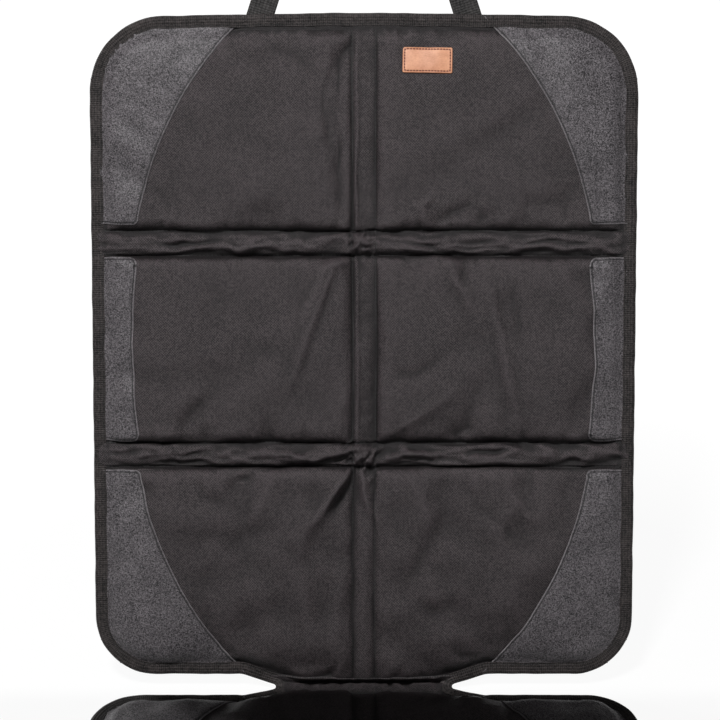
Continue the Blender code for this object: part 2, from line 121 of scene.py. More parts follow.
ACROSS = (
    (-HALF_WIDTH + BORDER, -HALF_COLUMN, "pad"),
    (-HALF_COLUMN, HALF_COLUMN, "ridge"),
    (HALF_COLUMN, HALF_WIDTH - BORDER, "pad"),
)
ALONG = (
    (SEAT_FRONT + BORDER, SEAT_BAND, "pad"),
    (SEAT_BAND, SEAT_BAND + BAND, "ridge"),
    (SEAT_BAND + BAND, 0.0, "pad"),
    (0.0, FOLD_LENGTH, "neck"),
    (FOLD_LENGTH, BAND_LOW, "pad"),
    (BAND_LOW, BAND_LOW + BAND, "ridge"),
    (BAND_LOW + BAND, BAND_HIGH, "pad"),
    (BAND_HIGH, BAND_HIGH + BAND, "ridge"),
    (BAND_HIGH + BAND, BACK_TOP + TOP_ARCH - BORDER, "pad"),
)

# How far the seams beside the column draw the pads in, along the back
DRAW_PLACES = (BACK_BOTTOM, BACK_BOTTOM + 0.02, BAND_LOW - 0.035, BAND_LOW, BAND_HIGH, BACK_TOP - 0.03)
DRAW_SHARES = (0.55, 0.30, 0.30, 0.70, 0.70, 0.62)
SEAT_DRAW = 0.6

YARN = 0.00112                # pitch of the cover's weave

# Mesh pitches of the cover, from its seams out to the middle of a pad
SEAM_PITCH = 0.0010
SHOULDER_PITCH = 0.0018
NEAR_PITCH = 0.0025
PAD_PITCH = 0.0045
SEAM_REACH = 0.003
SHOULDER_REACH = 0.008
NEAR_REACH = 0.026

# Factors on those pitches: in the middle of the back, towards its sides and on the seat
FINENESS = 0.82
FINE_HALF_WIDTH = 0.12
SIDE_COARSENESS = 1.5
SEAT_COARSENESS = 2.6
BACKING_COARSENESS = 1.4
SEAT_BACKING_COARSENESS = 2.2
SEAT_MESH_END = -0.01

# How far inside the mat's outermost places the mesh lines start
COVER_MESH_MARGIN = 0.001
BACKING_MESH_MARGIN = 0.002

# Cloth simulation of the cover
SIM_PITCH = 0.0045
SIM_FRAMES = 12
SIM_CAP = 0.0055              # farthest that a place may move
SIM_CLOTH = {
    "quality": 4,
    "mass": 0.15,
    "air_damping": 2.0,
    "tension_stiffness": 12.0,
    "compression_stiffness": 12.0,
    "shear_stiffness": 5.0,
    "bending_stiffness": 0.15,
    "vertex_group_mass": "sewn",
    "use_pressure": True,
    "uniform_pressure_force": 1.8,
    "shrink_min": -0.026,     # the cloth is 2.6% longer than its pattern
}

# Folds that the photo shows, in millimetres: points (u, height above the crease), rise, half width
MM = 0.001
FOLD_STRENGTH = 2.6
FOLD_SPREAD = 1.15
NARROWEST_FOLD = 0.0034
FOLDS = (
    (((-10, 578), (-20, 560), (-30, 530), (-30, 512), (-24, 480), (-18, 425)), -2.7, 5.6),
    (((-12, 392), (-34, 378), (-45, 352), (-56, 330)), 1.9, 2.4),
    (((-12, 386), (-26, 378), (-44, 338), (-54, 310), (-66, 275)), 1.7, 2.6),
    (((-133, 268), (-150, 250), (-165, 232)), -1.8, 7),
    (((-160, 235), (-185, 226)), 1.2, 6),
    (((71, 388), (80, 370), (95, 342)), 2, 3),
    (((106, 374), (115, 340), (124, 300), (135, 240)), 1.5, 3.8),
    (((124, 380), (132, 350), (140, 300)), -1, 5),
    (((22, 285), (45, 284), (70, 300)), -1.2, 4.2),
    (((24, 232), (50, 250), (82, 272)), 1.2, 5),
    (((70, 226), (90, 236), (96, 262)), -1.2, 5),
    (((60, 444), (50, 434), (55, 418)), 1.6, 2.2),
    (((62, 420), (90, 430), (118, 416)), -1.8, 6),
    (((62, 588), (78, 580)), -1.4, 4),
    (((-130, 590), (-120, 560)), 1, 4),
    (((-12, 200), (-24, 184), (-41, 158), (-48, 150)), 2.6, 2.8),
    (((-8, 196), (-16, 180), (-28, 160)), -1.6, 3),
    (((-4, 198), (2, 178), (12, 150)), 2.6, 2.6),
    (((-118, 182), (-96, 198)), -1.8, 6),
    (((-74, 137), (-60, 120), (-42, 111)), -1.4, 6.5),
    (((-60, 178), (-52, 150), (-60, 120)), 1, 6),
    (((45, 190), (58, 160), (56, 130)), 1.2, 6),
    (((78, 192), (110, 160), (150, 128)), -1.6, 8),
    (((118, 190), (140, 165), (165, 150)), 1.2, 7),
    (((50, 110), (80, 60)), 1, 7),
    (((-150, 193), (-140, 176), (-118, 168)), -1.6, 7),
    (((-100, 178), (-108, 140), (-104, 110)), -1.2, 8),
    (((-86, 186), (-96, 160), (-112, 145)), 1.3, 6),
    (((-62, 115), (-52, 85), (-46, 40)), 1, 7),
    (((62, 150), (52, 120), (40, 100)), -1.3, 8),
    (((40, 85), (62, 75), (85, 80)), -1.2, 8),
    (((140, 178), (120, 150), (118, 120)), 1.2, 7),
    (((-20, 100), (-30, 40)), 0.8, 6),
    (((75, 40), (96, 30), (100, 18)), -1.4, 4),
    (((-6, 420), (-4, 400), (-14, 388)), 2.2, 2.2),
    (((3, 404), (38, 396), (68, 388), (83, 377)), 2.2, 2.4),
    (((56, 404), (71, 394), (85, 379)), 1.8, 2),
    (((127, 402), (136, 390)), 1.6, 2),
    (((-115, 390), (-88, 408)), 1.8, 2.2),
    (((-16, 404), (-50, 396), (-90, 398), (-150, 394)), 1.2, 2.4),
    (((-8, 236), (-4, 214), (-12, 200)), 2.6, 2.4),
    (((10, 218), (4, 206), (12, 196)), 2.2, 2.2),
    (((12, 206), (30, 213), (52, 215), (64, 206)), 2.2, 2.2),
    (((64, 206), (90, 203), (140, 207)), 1.2, 2.6),
    (((-20, 213), (-45, 206), (-70, 213), (-110, 210)), 1.8, 2.4),
    (((-62, 201), (-50, 214)), 1.4, 2),
)

# Where the column crosses the bands: middle (u, height above the crease) and reach of the crumple
KNOTS = ((-0.003, 0.399, 0.013), (-0.005, 0.208, 0.017), (0.0, -0.245, 0.010))


# Outlines

def rounded(corners, inset=0.0, step=math.radians(5.0)):
    """Closed outline with rounded corners (u, v, radius), set in by an even distance."""
    points = []
    count = len(corners)
    for index in range(count):
        before = Vector(corners[index - 1][:2])
        here = Vector(corners[index][:2])
        after = Vector(corners[(index + 1) % count][:2])
        way_in = (here - before).normalized()
        way_out = (after - here).normalized()
        turn = math.atan2(way_in.cross(way_out), way_in.dot(way_out))
        normal_in = Vector((-way_in.y, way_in.x))
        normal_out = Vector((-way_out.y, way_out.x))
        miter = (normal_in + normal_out) / (1 + normal_in.dot(normal_out))
        corner = here + miter * inset
        grown = corners[index][2] - inset * math.copysign(1, turn)
        radius = max(grown, 0.0015) if corners[index][2] > 0 else 0.0
        if radius == 0:
            points.append(corner)
            continue
        reach = radius * math.tan(abs(turn) / 2)
        centre = corner - way_in * reach + normal_in * math.copysign(radius, turn)
        spoke = corner - way_in * reach - centre
        steps = max(2, math.ceil(abs(turn) / step))
        for k in range(steps + 1):
            angle = turn * k / steps
            cos, sin = math.cos(angle), math.sin(angle)
            points.append(centre + Vector((spoke.x * cos - spoke.y * sin, spoke.x * sin + spoke.y * cos)))
    return np.array(points)


def mat_corners():
    """Corners of the mat's outline, anticlockwise from the front right."""
    tilt = math.atan2((BACK_BOTTOM - SEAT_REAR) / 2, NOTCH_DEPTH)
    tip = NECK_WIDTH / 2 - NOTCH_TIP_RADIUS * (1 / math.sin(tilt) - 1)
    mouth = tip + NOTCH_DEPTH
    right = [
        (HALF_WIDTH, SEAT_FRONT, SEAT_FRONT_CORNER_RADIUS),
        (HALF_WIDTH, SEAT_REAR, SEAT_REAR_CORNER_RADIUS),
        (mouth, SEAT_REAR, NOTCH_MOUTH_RADIUS),
        (tip, (SEAT_REAR + BACK_BOTTOM) / 2, NOTCH_TIP_RADIUS),
        (mouth, BACK_BOTTOM, NOTCH_MOUTH_RADIUS),
        (HALF_WIDTH, BACK_BOTTOM, BACK_CORNER_RADIUS),
        (HALF_WIDTH, BACK_TOP, TOP_CORNER_RADIUS),
    ]
    left = [(-u, v, radius) for u, v, radius in reversed(right)]
    return right + [(0.0, BACK_TOP + TOP_ARCH, TOP_ARCH_RADIUS)] + left


def arc_through(start, middle, end, steps=24):
    """Points of the circle's arc from start through middle to end."""
    a, b, c = (complex(*point) for point in (start, middle, end))
    ratio = (c - a) / (b - a)
    centre = (b - a) * (ratio - abs(ratio) ** 2) / (2j * ratio.imag) + a
    swing = np.angle((c - centre) / (a - centre))
    spots = [centre + (a - centre) * np.exp(1j * swing * k / steps) for k in range(steps + 1)]
    return [(spot.real, spot.imag) for spot in spots]


def distance_inside(u, v, outline):
    """Distance in from an outline, negative outside it."""
    nearest = np.full(np.shape(u), 1e9)
    crossings = np.zeros(np.shape(u), int)
    for (u0, v0), (u1, v1) in zip(outline, np.roll(outline, -1, axis=0)):
        du, dv = u1 - u0, v1 - v0
        length = max(du * du + dv * dv, 1e-18)
        along = np.clip(((u - u0) * du + (v - v0) * dv) / length, 0, 1)
        nearest = np.minimum(nearest, np.hypot(u - u0 - along * du, v - v0 - along * dv))
        if v0 != v1:
            crossings += ((v0 > v) != (v1 > v)) & (u < u0 + (v - v0) * du / dv)
    return np.where(crossings % 2 == 1, nearest, -nearest)


def distance_to_line(u, v, points):
    """Distance to an open line, and the share of its length at the nearest place."""
    nearest = np.full(np.shape(u), 1e9)
    share = np.zeros(np.shape(u))
    lengths = [math.dist(a, b) for a, b in zip(points, points[1:])]
    done = 0.0
    for (u0, v0), (u1, v1), length in zip(points, points[1:], lengths):
        along = np.clip(((u - u0) * (u1 - u0) + (v - v0) * (v1 - v0)) / length ** 2, 0, 1)
        away = np.hypot(u - u0 - along * (u1 - u0), v - v0 - along * (v1 - v0))
        share = np.where(away < nearest, (done + along * length) / sum(lengths), share)
        nearest = np.minimum(nearest, away)
        done += length
    return nearest, share


# Folding the pattern

def fold(points):
    """Places of pattern points once the mat is folded at the crease."""
    u, v, h = np.moveaxis(np.asarray(points, float), -1, 0)
    angle = np.clip(v, 0, FOLD_LENGTH) / FOLD_RADIUS
    before = np.minimum(v, 0)
    beyond = np.maximum(v - FOLD_LENGTH, 0)
    radius = FOLD_RADIUS - h
    y = PATTERN_TO_Y + before + radius * np.sin(angle) + beyond * np.cos(angle)
    z = FOLD_RADIUS - radius * np.cos(angle) + beyond * np.sin(angle)
    return np.stack([u, y, z], axis=-1)


# Lines

def lengths_along(points):
    """Length of an open line up to each of its points."""
    return np.concatenate([[0], np.cumsum(np.linalg.norm(np.diff(points, axis=0), axis=1))])


def at_lengths(along, done, points):
    """Points (u, v) at lengths along a line."""
    return np.stack([np.interp(along, done, points[:, k]) for k in (0, 1)], axis=1)


def closed(line):
    """Line that ends where it starts."""
    return np.concatenate([line, line[:1]])


# The quilted cover

def ramp(distance, length):
    """0 up to a distance of 0, rising to 1 at a length."""
    return np.clip(distance / length, 0, 1)


def seam_share(distance, sharpness=SEAM_SHARPNESS):
    """Share of a pad's full rise at a distance in from its seam."""
    return 1 - (1 - ramp(distance, SHOULDER)) ** sharpness


def over_zones(place, zones, kind, shape):
    """A shape of the distances from the start and to the end of each zone of a kind, 0 elsewhere."""
    share = np.zeros(np.shape(place))
    for start, end, its_kind in zones:
        if its_kind == kind:
            within = (place >= start) & (place <= end)
            share = np.where(within, shape(place - start, end - place), share)
    return share


def pad_share(place, zones):
    """Share of the full rise in one direction: 1 in a pad, 0 at its seams and between them."""
    return over_zones(place, zones, "pad", lambda a, b: seam_share(np.minimum(a, b)))


def crown(place, zones):
    """Share of the crown's rise in one direction."""
    return over_zones(place, zones, "pad", lambda a, b: 1 - ((a - b) / (a + b)) ** 2)


def arch(place, zones):
    """Rounded rise of the slack bands or the column, from 0 at their seams to 1."""
    return over_zones(place, zones, "ridge",
                      lambda a, b: np.sin(np.pi * np.clip(a / (a + b), 0, 1)) ** 0.5)


def seam_distance(place, zones):
    """Distance to the nearest seam of the slack zones."""
    edges = [edge for start, end, kind in zones if kind != "pad" for edge in (start, end)]
    return np.min([np.abs(place - edge) for edge in edges], axis=0)


def wander(u, v, size, seed):
    """Smooth random field from about -1 to 1, with features of a size."""
    turns = np.random.default_rng(seed).uniform(0, 2 * np.pi, (256, 256))
    x, y = u / size, v / size
    x0, y0 = np.floor(x).astype(int), np.floor(y).astype(int)
    fx, fy = x - x0, y - y0
    sx, sy = (t ** 3 * (t * (t * 6 - 15) + 10) for t in (fx, fy))

    def corner(dx, dy):
        turn = turns[(x0 + dx) % 256, (y0 + dy) % 256]
        return np.cos(turn) * (fx - dx) + np.sin(turn) * (fy - dy)

    low = corner(0, 0) + sx * (corner(1, 0) - corner(0, 0))
    high = corner(0, 1) + sx * (corner(1, 1) - corner(0, 1))
    return 1.5 * (low + sy * (high - low))


def crests(field):
    """Narrow crests along the lines where a random field is zero."""
    return 1 - 2.4 * np.sqrt(field ** 2 + 0.003)


def fold_lines(u, v):
    """Rise of the folds that the photo shows."""
    rise = np.zeros(np.shape(u))
    bend = 0.0018 * wander(u, v, 0.016, 31)
    for points, height, width in FOLDS:
        line = [(across * MM, BACK_ZERO + above * MM) for across, above in points]
        away, share = distance_to_line(u + bend, v + bend, line)
        taper = np.sin(np.pi * np.clip(share * 0.86 + 0.07, 0, 1)) ** 0.8
        reach = max(width * MM * FOLD_SPREAD, NARROWEST_FOLD)
        rise += FOLD_STRENGTH * height * MM * taper * np.exp(-(away / reach) ** 1.5)
    return rise


def knots(u, v):
    """Crumpled cloth where the column crosses the bands."""
    rise = np.zeros(np.shape(u))
    bent_u = u + 0.003 * wander(u, v, 0.010, 41)
    bent_v = v + 0.003 * wander(u, v, 0.010, 42)
    pattern = crests(wander(bent_u, bent_v * 0.8, 0.0085, 43))
    pattern += 0.4 * crests(wander(bent_u, bent_v, 0.0045, 44))
    for across, above, reach in KNOTS:
        away = np.hypot(u - across, v - BACK_ZERO - above)
        rise += 0.0036 * (pattern + 0.4) * np.exp(-(away / reach) ** 2)
    return rise


def covered_share(u, v, outlines):
    """1 inside any of some outlines, 0 outside, with a soft edge."""
    share = np.zeros(np.shape(u))
    for corners in outlines:
        share = np.maximum(share, ramp(distance_inside(u, v, rounded(corners)) + 0.002, 0.004))
    return share


def inside_mat(u, v, degrees=10.0):
    """Distance in from the mat's rim."""
    return distance_inside(u, v, rounded(mat_corners(), step=math.radians(degrees)))


def cover_relief(u, v, inside):
    """Rise of the cover above the flat rim, with its slack, its folds and its wrinkles."""
    between = np.abs(u) < HALF_COLUMN
    rim = seam_share(inside - BORDER, RIM_SHARPNESS)
    stiff = 1 - 0.85 * covered_share(u, v, [*patch_outlines().values(), label_corners()])

    # Pads, less drawn in beside the column and above the crease
    draw = np.where(v < BACK_BOTTOM, SEAT_DRAW, np.interp(v, DRAW_PLACES, DRAW_SHARES))
    across = 1 - draw * (1 - pad_share(u, ACROSS))
    along = pad_share(v + 0.0009 * wander(u, v * 0.05, 0.040, 61), ALONG)
    soft_end = 0.70 + 0.30 * (1 - (1 - ramp(v - FOLD_LENGTH, 0.022)) ** 2)
    along = np.where((v >= FOLD_LENGTH) & (v < BAND_LOW - SHOULDER), soft_end, along)
    pads = np.where(between, 0, across) * along * rim
    rise = pads * (LOFT + FULLNESS + CROWN * crown(u, ACROSS) * crown(v, ALONG))

    # Waves and long folds across the pads
    waves = wander(u, v, 0.085, 1) + 0.8 * wander(u + 0.3 * v, v - 0.2 * u, 0.036, 2)
    slack = np.interp(v, [BAND_LOW - 0.02, BAND_LOW + 0.02], [1.35, 0.9])
    folds = crests(wander(u + 0.6 * v, v - 0.4 * u, 0.075, 3)) * (0.6 + 0.6 * wander(u, v, 0.05, 4))
    rise += pads * (0.0026 * waves * slack + 0.0012 * folds) * (0.35 + 0.65 * stiff)

    # Puckers next to the bands and the column
    from_band = seam_distance(v, ALONG)
    leaning = u + 0.45 * from_band * wander(u, v * 0, 0.05, 5)
    pucker = 0.7 * crests(wander(leaning, v * 0.24, 0.0105, 6)) + 0.5 * wander(leaning, v * 0.3, 0.021, 7)
    strength = ramp(from_band, 0.005) * np.exp(-np.maximum(from_band - 0.004, 0) / 0.010)
    rise += pads * 0.0024 * pucker * strength * stiff
    from_column = seam_distance(u, ACROSS)
    pucker = 0.6 * crests(wander(u * 0.3, v + 0.3 * from_column, 0.013, 8))
    strength = ramp(from_column, 0.004) * np.exp(-from_column / 0.009)
    rise += pads * 0.0014 * pucker * strength * stiff

    # Tucks under the upper tape
    strength = ramp(inside - BORDER + 0.003, 0.006) * np.exp(-np.maximum(inside - BORDER, 0) / 0.013)
    tucks = crests(wander(u + 0.5 * inside * wander(u, v * 0, 0.06, 26), v * 0.2, 0.0125, 27))
    rise += 0.0017 * (tucks + 0.4) * strength * (v > BAND_HIGH + BAND) * (0.5 + 0.5 * stiff)

    # Rolls of the slack bands
    band = arch(v, ALONG) * ramp(inside - 0.002, 0.016) * ~((v > 0) & (v < FOLD_LENGTH))
    bent_u = u + 0.010 * wander(u, v, 0.030, 11)
    bent_v = v + 0.0035 * wander(u, v, 0.022, 12)
    rolls = 0.75 * crests(wander(bent_u * 0.22, bent_v, 0.0088, 13))
    rolls += 0.45 * wander(bent_u * 0.4, bent_v, 0.0075, 14)
    slants = crests(wander(bent_u * 0.7 + bent_v * 0.6, bent_v * 0.8, 0.0120, 15)) * 0.5
    height = BAND_ROLL * (0.9 + 0.4 * wander(u, v * 0, 0.043, 16)) + 0.0038 * rolls + 0.0024 * slants
    rise += band * height * np.where(between, 0.8, 1)

    # The column: a roll between the upper pads, a flat strip between the lower ones
    column = arch(u, ACROSS)
    strip = column * along * rim
    lower = np.interp(v, [BAND_LOW - 0.035, BAND_LOW], [1.0, 0.0]) * (v > FOLD_LENGTH)
    height = COLUMN_ROLL * (1 + 0.25 * wander(u * 0, v, 0.030, 21))
    height += 0.0006 * crests(wander(u * 0.5, v, 0.014, 22))
    height += (LOFT + FULLNESS) * (1 - draw) / np.maximum(column, 0.25)
    flat_strip = (LOFT + FULLNESS) * (1 - draw * (1 - seam_share(HALF_COLUMN - np.abs(u)))) - 0.0008
    height = height * (1 - lower) + flat_strip * lower / np.maximum(column, 0.25)
    rise += np.where(between, strip * height, 0)
    from_pinch = (u + 0.0066 + 0.0012 * wander(u * 0, v, 0.05, 62)) / 0.0015
    pinch = np.exp(-from_pinch ** 2) * (1 - lower) * (v > BAND_LOW)
    rise += along * rim * 0.0030 * pinch * (0.75 + 0.35 * wander(u * 0, v, 0.03, 23))

    # The rolled neck
    lips = np.interp(v / FOLD_LENGTH, NECK_PLACES, NECK_HEIGHTS, left=0, right=0)
    uneven = 1 + 0.35 * wander(u, v * 0, 0.024, 24) + 0.25 * crests(wander(u, v * 0.6, 0.010, 25))
    rise += lips * uneven * ramp(inside - 0.004, 0.016)

    # The photo's own folds and knots. The cover never dips into the boards or the backing.
    free = ramp(inside - BORDER, 0.010)
    loose = np.maximum(pads, np.maximum(band, strip * 0.6))
    rise += fold_lines(u, v) * loose * free * (0.35 + 0.65 * stiff)
    rise += knots(u, v) * free
    boards = (pads > 0.999) & ~between
    return np.maximum(rise, np.where(boards, LOFT, 0.0002))


def stations(zones, low, high, coarseness):
    """Places of the mesh's lines in one direction, closer in the slack zones and next to seams."""
    marks = {low, high}
    steps_in = ((SEAM_REACH, SEAM_PITCH), (SHOULDER_REACH, SHOULDER_PITCH), (NEAR_REACH, NEAR_PITCH))
    spans = []
    for start, end, kind in zones:
        marks |= {start, end}
        if kind == "pad":
            for reach, pitch in steps_in:
                marks |= {start + reach, end - reach}
                spans += [(start, start + reach, pitch), (end - reach, end, pitch)]
        else:
            marks |= {start + SEAM_REACH, end - SEAM_REACH}
            spans += [(start, start + SEAM_REACH, SEAM_PITCH), (end - SEAM_REACH, end, SEAM_PITCH),
                      (start, end, SHOULDER_PITCH)]
    marks = sorted(marks)
    places = []
    for start, end in zip(marks, marks[1:]):
        middle = (start + end) / 2
        pitch = min([PAD_PITCH] + [size for a, b, size in spans if a < middle < b]) * coarseness(middle)
        steps = max(1, round((end - start) / pitch))
        places += [start + (end - start) * k / steps for k in range(steps)]
    return np.array(places + [high])


def mesh_lines(margin, middle, sides, seat):
    """Places of a sheet's mesh lines in both directions, by its coarseness in three areas."""
    across = stations(ACROSS, -HALF_WIDTH + margin, HALF_WIDTH - margin,
                      lambda place: middle if abs(place) < FINE_HALF_WIDTH else sides)
    along = stations(ALONG, SEAT_FRONT + margin, BACK_TOP + TOP_ARCH - margin,
                     lambda place: seat if place < SEAT_MESH_END else middle)
    return across, along


def blurred(field, size):
    """Field smoothed over a size, on the cover's uneven grid."""
    smoothing = []
    for places in (vs, us):
        near = np.exp(-0.5 * ((places[:, None] - places[None, :]) / size) ** 2) * np.gradient(places)
        smoothing.append(near / near.sum(axis=1, keepdims=True))
    return smoothing[0] @ field @ smoothing[1].T


def cover_painted_shading():
    """Painted shade and painted highlight of the cover's colour, by how deep each place lies among its
    surroundings: from -1 on crests, painted lighter, to 1 in seams, painted darker, with a painted shadow
    along the tape's inner edge.
    """
    height = settled[..., 2]
    places = np.broadcast_to(vs[:, None], height.shape)
    quilted = (inside > BORDER) & ~((places > 0) & (places < FOLD_LENGTH))
    # Painted shade: darker the lower a place lies below the pads' full height, and in narrow and wide hollows
    depth = np.clip((CLOTH_TOP + LOFT + FULLNESS - height) / (LOFT + FULLNESS), 0, 1) * quilted
    wide = (blurred(height, 0.010) - height) / 0.0030
    narrow = (blurred(height, 0.0028) - height) / 0.0009
    # Painted shadow of the tape's inner edge on the cover
    painted_tape_shadow = 0.8 * np.exp(-((inside - 0.0112) / 0.0022) ** 2)
    return np.clip(0.72 * depth + 0.50 * wide + 0.5 * narrow + painted_tape_shadow, -1, 1)


def cover_grid():
    """The grid's places in both directions, the cover's places on it, and their distance from the rim."""
    us, vs = mesh_lines(COVER_MESH_MARGIN, FINENESS, SIDE_COARSENESS, SEAT_COARSENESS)
    u, v = np.meshgrid(us, vs)
    inside = inside_mat(u, v)
    rise = cover_relief(u, v, inside)
    return us, vs, np.stack([u, v, CLOTH_TOP + rise], axis=-1), inside


def sewn_share(points, within):
    """1 where the cover is sewn down, 0 where it is free to move."""
    rise = points[..., 2] - CLOTH_TOP
    low = np.clip(1 - (rise - 0.0006) / 0.0016, 0, 1)
    return np.maximum(low, ramp(BORDER + 0.001 - within, 0.002))


def linked(name, data):
    """New object in the scene."""
    obj = bpy.data.objects.new(name, data)
    bpy.context.scene.collection.objects.link(obj)
    return obj


def cloth_simulation(start, sewn):
    """Places of a grid of cloth once its filling has pushed it up between its seams."""
    rows, columns = start.shape[:2]
    mesh = bpy.data.meshes.new("settling")
    mesh.from_pydata(start.reshape(-1, 3).tolist(), [], grid_faces(rows, columns))
    cloth = linked("settling", mesh)
    group = cloth.vertex_groups.new(name="sewn")
    levels = np.round(sewn.reshape(-1) * 10)
    for level in range(1, 11):
        group.add(np.nonzero(levels == level)[0].tolist(), level / 10, "REPLACE")
    modifier = cloth.modifiers.new("Cloth", "CLOTH")
    modifier.point_cache.frame_start = 1
    modifier.point_cache.frame_end = SIM_FRAMES
    modifier.collision_settings.use_collision = False
    modifier.settings.effector_weights.gravity = 0.0
    for name, value in SIM_CLOTH.items():
        setattr(modifier.settings, name, value)
    for frame_number in range(1, SIM_FRAMES + 1):
        bpy.context.scene.frame_set(frame_number)
    done = cloth.evaluated_get(bpy.context.evaluated_depsgraph_get()).to_mesh()
    places = np.empty(len(done.vertices) * 3)
    done.vertices.foreach_get("co", places)
    bpy.data.objects.remove(cloth)
    bpy.data.meshes.remove(mesh)
    bpy.context.scene.frame_set(1)
    return places.reshape(rows, columns, 3)


def swelled_cover():
    """The cover's places after a short cloth simulation on an even grid."""
    even_u = np.linspace(us[0], us[-1], round((us[-1] - us[0]) / SIM_PITCH) + 1)
    even_v = np.linspace(vs[0], vs[-1], round((vs[-1] - vs[0]) / SIM_PITCH) + 1)
    u, v = np.meshgrid(even_u, even_v)
    start = cover_place(u, v)
    within = inside_mat(u, v)
    moved = cloth_simulation(start, sewn_share(start, within)) - start
    size = np.linalg.norm(moved, axis=-1, keepdims=True)
    moved *= SIM_CAP * np.tanh(size / SIM_CAP) / np.maximum(size, 1e-9)
    free = 1 - sewn_share(settled, inside)
    found = settled.copy()
    for axis in range(3):
        across = np.stack([np.interp(us, even_u, row) for row in moved[..., axis]])
        fine = np.stack([np.interp(vs, even_v, column) for column in across.T], axis=1)
        found[..., axis] += blurred(fine, 0.0024) * free
    found[..., 2] = np.maximum(found[..., 2], np.minimum(settled[..., 2], CLOTH_TOP + LOFT))
    return found


def spline_weights(t):
    """Weights of four neighbours for a smooth curve through them."""
    return (
        ((2 - t) * t - 1) * t / 2,
        ((3 * t - 5) * t * t + 2) / 2,
        ((4 - 3 * t) * t + 1) * t / 2,
        (t - 1) * t * t / 2,
    )


def cover_place(u, v):
    """Pattern places of points of the cover's top."""
    rows, columns = settled.shape[:2]
    iu = np.interp(u, us, np.arange(columns))
    iv = np.interp(v, vs, np.arange(rows))
    cu = np.clip(np.floor(iu).astype(int), 0, columns - 2)
    cv = np.clip(np.floor(iv).astype(int), 0, rows - 2)
    found = np.zeros(np.shape(u) + (3,))
    for dv, weight_v in zip(range(-1, 3), spline_weights(iv - cv)):
        for du, weight_u in zip(range(-1, 3), spline_weights(iu - cu)):
            row = np.clip(cv + dv, 0, rows - 1)
            column = np.clip(cu + du, 0, columns - 1)
            found += (weight_v * weight_u)[..., None] * settled[row, column]
    return found


def on_cover(points):
    """Folded places of points (u, v, lift above the cover)."""
    u, v, lift = np.moveaxis(np.asarray(points, float), -1, 0)
    step = 0.0012
    spot = cover_place(u, v)
    side = cover_place(u + step, v) - cover_place(u - step, v)
    ahead = cover_place(u, v + step) - cover_place(u, v - step)
    normal = np.cross(side, ahead)
    normal /= np.maximum(np.linalg.norm(normal, axis=-1), 1e-12)[..., None]
    return fold(spot + normal * lift[..., None])


# Mesh helpers

def mesh_object(name, points, faces, pattern, look):
    """Smooth object from arrays, with its pattern coordinates in metres as UVs."""
    mesh = bpy.data.meshes.new(name)
    mesh.from_pydata(np.asarray(points).reshape(-1, 3).tolist(), [], faces)
    layer = mesh.uv_layers.new(name="pattern")
    corners = np.empty(len(mesh.loops), dtype=np.int32)
    mesh.loops.foreach_get("vertex_index", corners)
    layer.uv.foreach_set("vector", np.asarray(pattern, np.float32).reshape(-1, 2)[corners].ravel())
    mesh.polygons.foreach_set("use_smooth", [True] * len(mesh.polygons))
    mesh.materials.append(look)
    mesh.update()
    obj = linked(name, mesh)
    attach(obj, "root")
    return obj


def add_values(obj, name, values):
    """Value of each vertex, for the material."""
    layer = obj.data.attributes.new(name, "FLOAT", "POINT")
    layer.data.foreach_set("value", np.asarray(values, np.float32))


def face_outwards(obj):
    """Turns a closed mesh's faces outwards."""
    bm = bmesh.new()
    bm.from_mesh(obj.data)
    inside_out = bm.calc_volume(signed=True) <= 0
    bm.free()
    if inside_out:
        obj.data.flip_normals()


def cell_means(field):
    """Mean of the corners of each cell of a grid."""
    return (field[:-1, :-1] + field[1:, 1:] + field[:-1, 1:] + field[1:, :-1]) / 4


def grid_faces(rows, columns, wrap_rows=False, wrap_columns=False):
    """Quads of a grid of vertices, joined up at its ends where asked."""
    faces = []
    for row in range(rows if wrap_rows else rows - 1):
        for column in range(columns if wrap_columns else columns - 1):
            right = (column + 1) % columns
            below = (row + 1) % rows
            faces.append((row * columns + column, row * columns + right,
                          below * columns + right, below * columns + column))
    return faces


def sheet_solid(name, top, bottom, pattern, keep, look, painted_shading):
    """Thin closed solid between two grids of points, over the grid cells to keep, carrying the painted shade
    and highlight of its colour at each vertex.
    """
    rows, columns = top.shape[:2]
    index = np.arange(rows * columns).reshape(rows, columns)
    quads = np.stack([index[:-1, :-1], index[:-1, 1:], index[1:, 1:], index[1:, :-1]], axis=-1)[keep]
    used, quads = np.unique(quads, return_inverse=True)
    quads = quads.reshape(-1, 4).tolist()
    count = len(used)
    edges = {}
    for quad in quads:
        for a, b in zip(quad, quad[1:] + quad[:1]):
            if (b, a) in edges:
                del edges[(b, a)]
            else:
                edges[(a, b)] = True
    faces = quads + [tuple(corner + count for corner in reversed(quad)) for quad in quads]
    faces += [(a + count, b + count, b, a) for a, b in edges]
    points = np.concatenate([top.reshape(-1, 3)[used], bottom.reshape(-1, 3)[used]])
    places = pattern.reshape(-1, 2)[used]
    sheet = mesh_object(name, points, faces, np.concatenate([places, places]), look)
    # The hollow attribute carries the painted shade and painted highlight to the material
    add_values(sheet, "hollow", np.tile(painted_shading.reshape(-1)[used], 2))
    return sheet


# Materials

